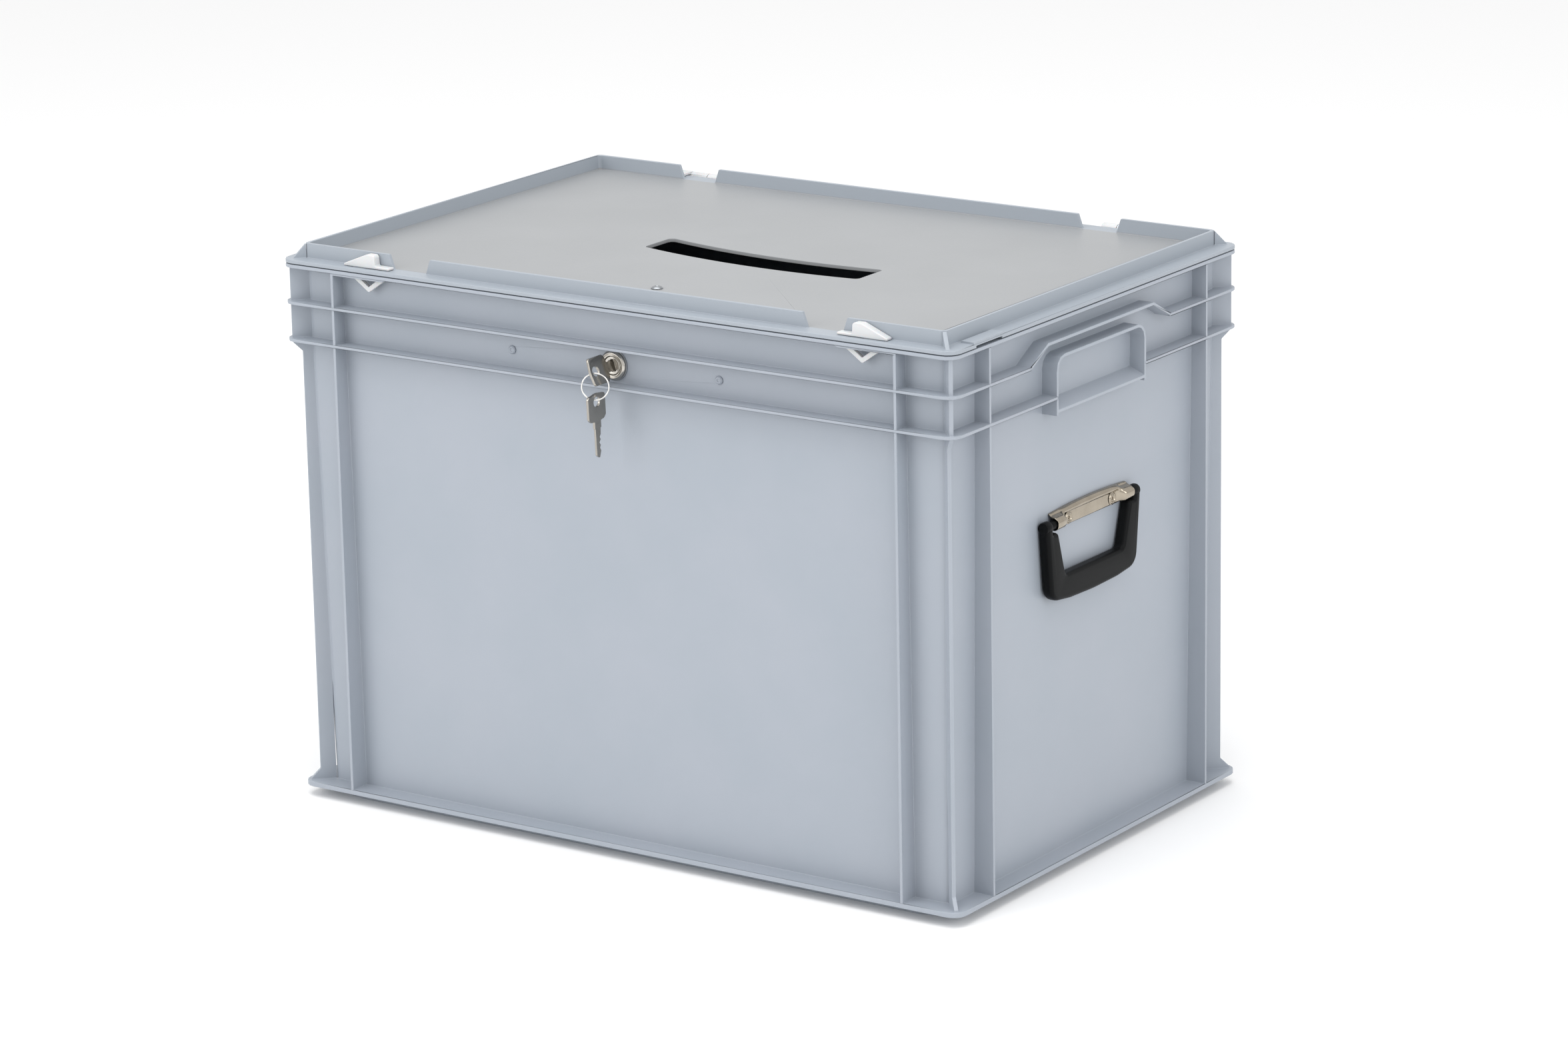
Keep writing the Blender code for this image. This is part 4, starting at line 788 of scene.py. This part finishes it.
@dataclass
class Keys:
    """Flat key in the lock, split ring, and the spare that hangs from it."""

    dresser: Dresser
    thickness: float = 2.0
    bow_length: float = 20.6
    bow_half: float = 10.4
    shank: float = 6.0
    shank_half: float = 3.9
    blade: float = 22.0
    blade_half: float = 3.1
    hole: float = 3.8
    hole_inset: float = 6.5
    hang: float = 1.3
    wire: float = 0.52
    wire_side: float = 0.28
    ring_radius: float = 9.9
    ring_yaw: float = 34.5
    face_gap: float = 0.3

    def flat_key(self) -> Shape:
        """Key with its shoulder at Y = 0: a bow with a hole, a shank, and a blade with cuts."""
        start, end = -self.shank, -self.shank - self.bow_length
        half = self.thickness / 2
        bow = filleted(
            [
                (end + 1.6, -self.bow_half, 2.2),
                (start - 2.4, -self.bow_half, 1.2),
                (start, -self.bow_half + 2.4, 1.0),
                (start + 0.6, -self.shank_half, 0.8),
                (start + 0.6, self.shank_half, 0.8),
                (start, self.bow_half - 2.4, 1.0),
                (start - 2.4, self.bow_half, 1.2),
                (end + 1.6, self.bow_half, 2.2),
                (end, 0.0, 9.0),
            ]
        )
        angle = np.linspace(0, 2 * np.pi, 96, endpoint=False) + np.pi * 1.25
        middle_y = end + self.hole_inset
        hole = np.stack([middle_y + self.hole * np.cos(angle), self.hole * np.sin(angle)], axis=1)
        shape = Shape().hollow_slab(resampled(bow, 96), hole, -half, half, 0.35, Plane.END)
        shank = filleted(
            [
                (start, -self.shank_half, 0.35),
                (0, -self.shank_half, 0.5),
                (0, self.shank_half, 0.5),
                (start, self.shank_half, 0.35),
            ]
        )
        shape.slab(shank, -half, half, 0.3, Plane.END)
        cuts = [(5.0, 0.9), (6.8, 0.4), (8.8, 0.8), (10.8, 0.2), (13.0, 0.7), (15.0, 0.35), (17.2, 0.75)]
        upper = [(y, self.blade_half * share, 0.3) for y, share in cuts]
        blade = filleted(
            [
                (-0.5, -self.blade_half, 0.3),
                (self.blade - 2.0, -self.blade_half, 0.4),
                (self.blade, -0.5, 0.3),
                (self.blade, 0.5, 0.3),
                *upper[::-1],
                (-0.5, self.blade_half, 0.3),
            ],
            3,
        )
        return shape.slab(blade, -half * 0.85, half * 0.85, 0.25, Plane.END)

    def split_ring(self, centre: Array) -> Shape:
        """Two turns of flattened wire side by side: P(u, v) is an ellipse carried round a flat helix."""
        turns, steps, round_wire = 2.0, 128, 10
        along = np.linspace(0, 1, steps)
        angle = along * turns * 2 * np.pi - np.pi / 2
        pitch = self.wire_side * 1.95
        lane = np.clip((along - 0.5) * 6, -1, 1) * pitch / 2
        outward_way = np.stack([np.cos(angle), np.zeros(steps), np.sin(angle)], axis=1)
        side_way = np.array([0.0, 1.0, 0.0])
        path = outward_way * self.ring_radius + lane[:, None] * side_way
        wire_angle = np.linspace(0, 2 * np.pi, round_wire, endpoint=False)
        ring = np.cos(wire_angle)[None, :, None] * outward_way[:, None] * self.wire
        ring = ring + np.sin(wire_angle)[None, :, None] * side_way * self.wire_side
        shape = Shape().add(path[:, None] + ring, caps=True)
        yaw = Matrix.Rotation(np.radians(self.ring_yaw), 4, "Z")
        return shape.moved(Matrix.Translation(centre) @ yaw)

    def build(self) -> None:
        """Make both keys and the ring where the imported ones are."""
        face = corner("lock_housing", False)[1] - self.face_gap
        axis = middle("lock_housing")
        place = Matrix.Translation((axis[0], face, axis[2])) @ Matrix.Rotation(KEY_TURN, 4, (0, -1, 0))
        key = self.flat_key().moved(place).make("lock_key")
        self.dresser.dress(key, KEY_NICKEL, "key", "nickel", "key")
        ring_middle = middle("key_ring")
        ring = self.split_ring(ring_middle).make("split_ring", 80)
        self.dresser.dress(ring, RING_STEEL, "ring", "nickel", "key_ring")
        hung = ring_middle - np.array([0, 0, self.ring_radius + self.hang])
        down = Matrix.Translation(hung) @ Matrix.Rotation(-np.pi / 2 + SPARE_TILT, 4, "X")
        lift = Matrix.Translation((0, self.shank + self.bow_length - self.hole_inset, 0))
        spare = self.flat_key().moved(down @ lift).make("hanging_key")
        self.dresser.dress(spare, KEY_NICKEL, "spare", "nickel", "spare_key")


@dataclass
class Screws:
    """Screws in the front wall, which match it, and the pan-head screw on the lid."""

    dresser: Dresser

    def build(self) -> None:
        """Turn each screw and press a recess into its head."""
        for side in Side:
            node = f"wall_screw_{side.word}"
            low, high = corner(node, False), corner(node, True)
            head = (high[2] - low[2]) / 2
            length = high[1] - low[1]
            profile = [(0, 1.0), (0.9, 1.0), (1.5, 0.25), (head * 0.7, 0.35), (head, 1.3), (head, 1.7)]
            profile += [(1.9, 1.7), (1.9, length), (0, length)]
            start = np.array([middle(node)[0], low[1], middle(node)[2]])
            shape = Shape().turned(soft_profile(profile, 0.3), start, [0, 1, 0])
            piece = shape.make(f"wall_bolt_{side.word}")
            self.dresser.dress(piece, TUB_POLYPROPYLENE, "box", "container_plastic", node)
        node = "keeper_screw"
        low, high = corner(node, False), corner(node, True)
        length = high[2] - low[2]
        profile = [(0, 1.1), (1.2, 1.1), (1.6, 0.15), (3.0, 0.4), (4.5, 1.5), (4.5, 1.8), (1.9, 1.8)]
        profile += [(1.9, length), (0, length)]
        start = np.array([*middle(node)[:2], high[2]])
        piece = Shape().turned(soft_profile(profile, 0.3), start, [0, 0, -1]).make("lid_fixing_screw")
        self.dresser.dress(piece, ZINC_PLATE, "lid", "zinc_steel", node)


@dataclass
class Handle:
    """Suitcase handle: ridged plate with rolled ends, two hollow rivets and a black grip."""

    dresser: Dresser
    side: Side
    sheet: float = 1.2
    plate_depth: float = 3.2
    loop_outer: float = 4.65
    below: float = 5.4
    above: float = 9.6
    stub_out: float = 4.8
    fold_from: float = 36.6
    fold_to: float = 43.0
    ridge_arch: float = 2.0
    ridge_low: float = 4.6
    ridge_span: float = 4.4
    rivet_head: float = 4.9
    outer_top: float = 65.5
    outer_low: float = 59.5
    boss_inner: float = 57.1
    inner_step: float = 50.0
    inner_low: float = 40.2
    drop_inner: float = 38.8
    drop_corner: float = 55.5
    drop_outer: float = 59.5
    shift: float = 3.2
    half_depth: float = 4.8
    stub_radius: float = 3.2
    stub_length: float = 16.0
    stub_from: float = 44.1

    @property
    def axis(self) -> tuple[float, float]:
        """Distance from the middle and height of the grip's axis, from the plate's box."""
        low, high = corner("handle_plate_right", False), corner("handle_plate_right", True)
        return high[0] - self.loop_outer, low[2] + self.below

    def turned_round(self, shape: Shape) -> Shape:
        """Turn a right-hand shape half round for the left end."""
        return shape.moved(Matrix.Rotation(np.pi, 4, "Z")) if self.side is Side.LEFT else shape

    def sections(self) -> tuple[Array, Array]:
        """Middle lines of the pressed sheet: flat with a ridge, and rolled round the grip's stub.

        Returns:
            Two paths of as many points, each from the wall below to the wall above, given as distances
            out from the plate's back and up from the grip's axis.
        """
        low, top = -self.below + self.sheet / 2, self.above - self.sheet / 2
        face = self.plate_depth - self.sheet / 2
        flat = [(-9, low, 0.1), (face, low, 0.9), (face, self.ridge_low, 1.2)]
        flat += [(face + 1.5, 5.9, 1.0), (face + 1.5, 7.4, 0.9)]
        flat += [(face - 0.3, top, 1.2), (-9, top, 0.1)]
        roll = self.loop_outer - self.sheet / 2
        out = self.stub_out
        rolled = [(-9, -roll, 0.1), (out + roll, -roll, roll - 0.05), (out + roll, 2.4, 2.2)]
        rolled += [(out + 0.6, 4.9, 1.5), (2.4, 6.6, 1.6), (1.0, top, 1.2), (-9, top, 0.1)]
        return tuple(self.trimmed(filleted(corners, 7)) for corners in (flat, rolled))

    @staticmethod
    def trimmed(path: Array) -> Array:
        """Cut a closed section off at the plate's back and spread points evenly along what is left.

        Args:
            path: The closed section, which reaches behind the plate's back.

        Returns:
            SECTION_POINTS points, from the back round the front to the back again.
        """
        path = path[path[:, 0] > 0]
        path = np.vstack([[0, path[0, 1]], path, [0, path[-1, 1]]])
        reach = np.concatenate([[0], np.cumsum(np.linalg.norm(np.diff(path, axis=0), axis=1))])
        at = np.linspace(0, reach[-1], SECTION_POINTS)
        return np.stack([np.interp(at, reach, path[:, 0]), np.interp(at, reach, path[:, 1])], axis=1)

    def plate(self) -> None:
        """Pressed plate: P(u, v) = flat(u) * (1 - w(v)) + rolled(u) * w(v), carried along Y.

        The share w rises smoothly from 0 to 1 beyond each rivet. The ridge is arched: it sinks with the
        square of the distance from the middle.
        """
        x, z = self.axis
        back = corner("handle_plate_right", False)[0]
        reach = corner("handle_plate_right", True)[1]
        flat, rolled = self.sections()
        straight = np.linspace(0, self.fold_from, 9)
        fold = np.linspace(self.fold_from, self.fold_to, 9)[1:]
        steps = np.concatenate([straight, fold, [48, reach - 0.8, reach - 0.35, reach - 0.1, reach]])
        widths = np.full(len(steps), self.sheet)
        widths[-3:] = self.sheet * np.array([0.96, 0.8, 0.5])
        steps = np.concatenate([-steps[:0:-1], steps])
        widths = np.concatenate([widths[:0:-1], widths])
        rows = []
        for y, width in zip(steps, widths):
            share = np.clip((abs(y) - self.fold_from) / (self.fold_to - self.fold_from), 0, 1)
            share = share * share * (3 - 2 * share)
            path = flat * (1 - share) + rolled * share
            rise = np.clip((path[:, 1] - self.ridge_low) / self.ridge_span, 0, 1)
            sink = self.ridge_arch * (y / reach) ** 2 * rise
            outline = ribbon(path - np.stack([np.zeros_like(sink), sink], axis=1), width)
            place = np.array([back, y, z])
            rows.append(np.insert(outline, 1, 0, axis=1) + place)
        shape = Shape().add(np.array(rows), caps=True)
        node = f"handle_plate_{self.side.word}"
        piece = self.turned_round(shape).make(f"pressed_plate_{self.side.word}", 50)
        self.dresser.dress(piece, NICKEL_PLATE, "box", "nickel", node)

    def rivets(self) -> None:
        """Hollow rivets with a dished, rolled head outside and a flat one inside, and the backing strip."""
        for place in ("front", "back"):
            node = f"handle_rivet_{self.side.word}_{place}"
            low, high = corner(node, False), corner(node, True)
            length = high[0] - low[0]
            head = self.rivet_head
            profile = [(1.2, 1.1), (1.3, 0.8), (2.3, 0.8), (2.9, 0.05), (3.7, 0.0), (4.2, 0.8)]
            profile += [(head, 1.0), (head, 1.15), (2.0, 1.15), (2.0, length - 0.9)]
            profile += [(3.4, length - 0.9), (3.2, length), (1.2, length)]
            table = soft_profile(profile + profile[:1], 0.35)[:-1]
            outer = high[0] if self.side is Side.RIGHT else low[0]
            start = np.array([outer, *middle(node)[1:]])
            shape = Shape().turned(table, start, [-self.side.value, 0, 0], True)
            piece = shape.make(f"hollow_rivet_{self.side.word}_{place}")
            self.dresser.dress(piece, NICKEL_PLATE, "box", "nickel", node)
        node = f"handle_backing_{self.side.word}"
        piece = softened_node(node, f"backing_strip_{self.side.word}", 0.25, 35)
        self.dresser.dress(piece, ZINC_PLATE, "box", "zinc_steel", node)

    def grip(self) -> None:
        """D-shaped moulding with broad rounded edges, and a boss and a stub at each arm's top."""
        x, z = self.axis
        corner_z, inner_z = z - self.drop_corner, z - self.drop_inner
        step = z - self.loop_outer - 0.6
        right = [
            (self.boss_inner, z + 0.5, 3.05),
            (self.outer_top, z + 0.5, 3.05),
            (self.outer_low, corner_z, 12.0),
            (self.outer_low * 0.55, z - self.drop_outer * 0.985, 40.0),
        ]
        left = [(-y, height, radius) for y, height, radius in right[::-1]]
        inside = [
            (-self.boss_inner, step, 0.8),
            (-self.inner_step, step, 3.05),
            (-self.inner_low, inner_z, 3.6),
            (self.inner_low, inner_z, 5.0),
            (self.inner_step, step, 3.05),
            (self.boss_inner, step, 0.8),
        ]
        bottom = [(0.0, z - self.drop_outer, 200.0)]
        outline = filleted(right[1:] + bottom + left + inside + right[:1])
        outline = outline - np.array([self.shift, 0.0])
        shape = Shape()
        insets, heights = edge_curve(x - self.half_depth, x + self.half_depth, 3.0, 7)
        shape.add(ring_grid(outline, insets, heights, Plane.END), caps=True)
        boss = self.half_depth - 0.05
        for end in (-1, 1):
            inner = end * self.boss_inner - self.shift
            wide = self.outer_top - self.boss_inner
            profile = [(0, 0), (boss, 0), (boss, wide), (0, wide)]
            shape.turned(soft_profile(profile, 2.2), [x, inner, z], [0, end, 0])
            stub = [(0, 0), (self.stub_radius, 0)]
            stub += [(self.stub_radius, self.stub_length), (0, self.stub_length)]
            shape.turned(soft_profile(stub, 0.4), [x, end * self.stub_from, z], [0, end, 0])
        node = f"handle_grip_{self.side.word}"
        piece = self.turned_round(shape).make(f"moulded_grip_{self.side.word}")
        self.dresser.dress(piece, BLACK_NYLON, f"grip_{self.side.word}", "black_plastic", node)

    def build(self) -> None:
        """Make every piece of the handle."""
        self.plate()
        self.rivets()
        self.grip()


# ---------------------------------------------------------------- studio


@dataclass
class Studio:
    """Pale floor, soft light and the camera."""

    target: tuple[float, float, float] = (12.10, 8.33, 212.14)
    azimuth: float = 34.550
    elevation: float = 15.444
    distance: float = 4192.152
    roll: float = -1.078
    lens: float = 126.484

    def camera(self) -> None:
        """Camera on a sphere round the target, rolled a little about its own line of sight."""
        azimuth, elevation, roll = np.radians([self.azimuth, self.elevation, self.roll])
        back = np.array(
            [np.sin(azimuth) * np.cos(elevation), -np.cos(azimuth) * np.cos(elevation), np.sin(elevation)]
        )
        right = np.array([np.cos(azimuth), np.sin(azimuth), 0.0])
        up = np.cross(back, right)
        rolled_right = right * np.cos(roll) + up * np.sin(roll)
        rolled_up = up * np.cos(roll) - right * np.sin(roll)
        place = np.eye(4)
        place[:3, :3] = np.stack([rolled_right, rolled_up, back], axis=1)
        place[:3, 3] = (np.array(self.target) + back * self.distance) * MM
        data = bpy.data.cameras.new("camera")
        data.sensor_width = 36.0
        data.lens = self.lens
        data.clip_end = 60.0
        camera = bpy.data.objects.new("camera", data)
        camera.matrix_world = Matrix(place.tolist())
        bpy.context.scene.collection.objects.link(camera)
        bpy.context.scene.camera = camera

    def softbox(self, name: str, place: tuple[float, float, float], size: float, watts: float) -> None:
        """Square area light, in metres, that faces the middle of the box."""
        data = bpy.data.lights.new(name, "AREA")
        data.energy = watts
        data.size = size
        lamp = bpy.data.objects.new(name, data)
        lamp.location = place
        aim = Vector((0, 0, 0.2)) - Vector(place)
        lamp.rotation_euler = aim.to_track_quat("-Z", "Y").to_euler()
        bpy.context.scene.collection.objects.link(lamp)

    def floor(self) -> None:
        """White floor that reaches the horizon."""
        mesh = bpy.data.meshes.new("floor")
        reach = 40.0
        corners = [(-reach, -reach, 0), (reach, -reach, 0), (reach, reach, 0), (-reach, reach, 0)]
        mesh.from_pydata(corners, [], [(0, 1, 2, 3)])
        floor = bpy.data.objects.new("floor", mesh)
        bpy.context.scene.collection.objects.link(floor)
        paint = bpy.data.materials.new("matt_white_floor")
        paint.use_nodes = True
        shader = paint.node_tree.nodes["Principled BSDF"]
        shader.inputs["Base Color"].default_value = linear("F4F4F4")
        shader.inputs["Roughness"].default_value = 0.9
        mesh.materials.append(paint)

    def build(self) -> None:
        """Set up camera, floor, sky and lights."""
        self.camera()
        self.floor()
        world = bpy.data.worlds.new("studio")
        world.use_nodes = True
        sky = world.node_tree.nodes["Background"]
        sky.inputs["Color"].default_value = (1.0, 1.0, 1.0, 1.0)
        sky.inputs["Strength"].default_value = 0.95
        bpy.context.scene.world = world
        bpy.context.scene.view_settings.view_transform = "Standard"
        self.softbox("top_light", (0.2, -0.6, 2.6), size=2.4, watts=40)
        self.softbox("front_light", (-1.6, -2.8, 1.6), size=2.0, watts=32)
        self.softbox("end_light", (3.0, -0.6, 1.3), size=1.6, watts=22)


def main() -> None:
    """Build every sub-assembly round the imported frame."""
    logging.basicConfig(level=logging.INFO, format="%(message)s")
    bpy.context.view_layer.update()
    dresser = Dresser()
    Mouldings(dresser).build()
    for side in Side:
        Latch(dresser, side).build()
        Hinge(dresser, side).build()
        Handle(dresser, side).build()
    Lock(dresser).build()
    Keys(dresser).build()
    Screws(dresser).build()
    Studio().build()
    bpy.context.view_layer.update()


if __name__ == "__main__":
    main()
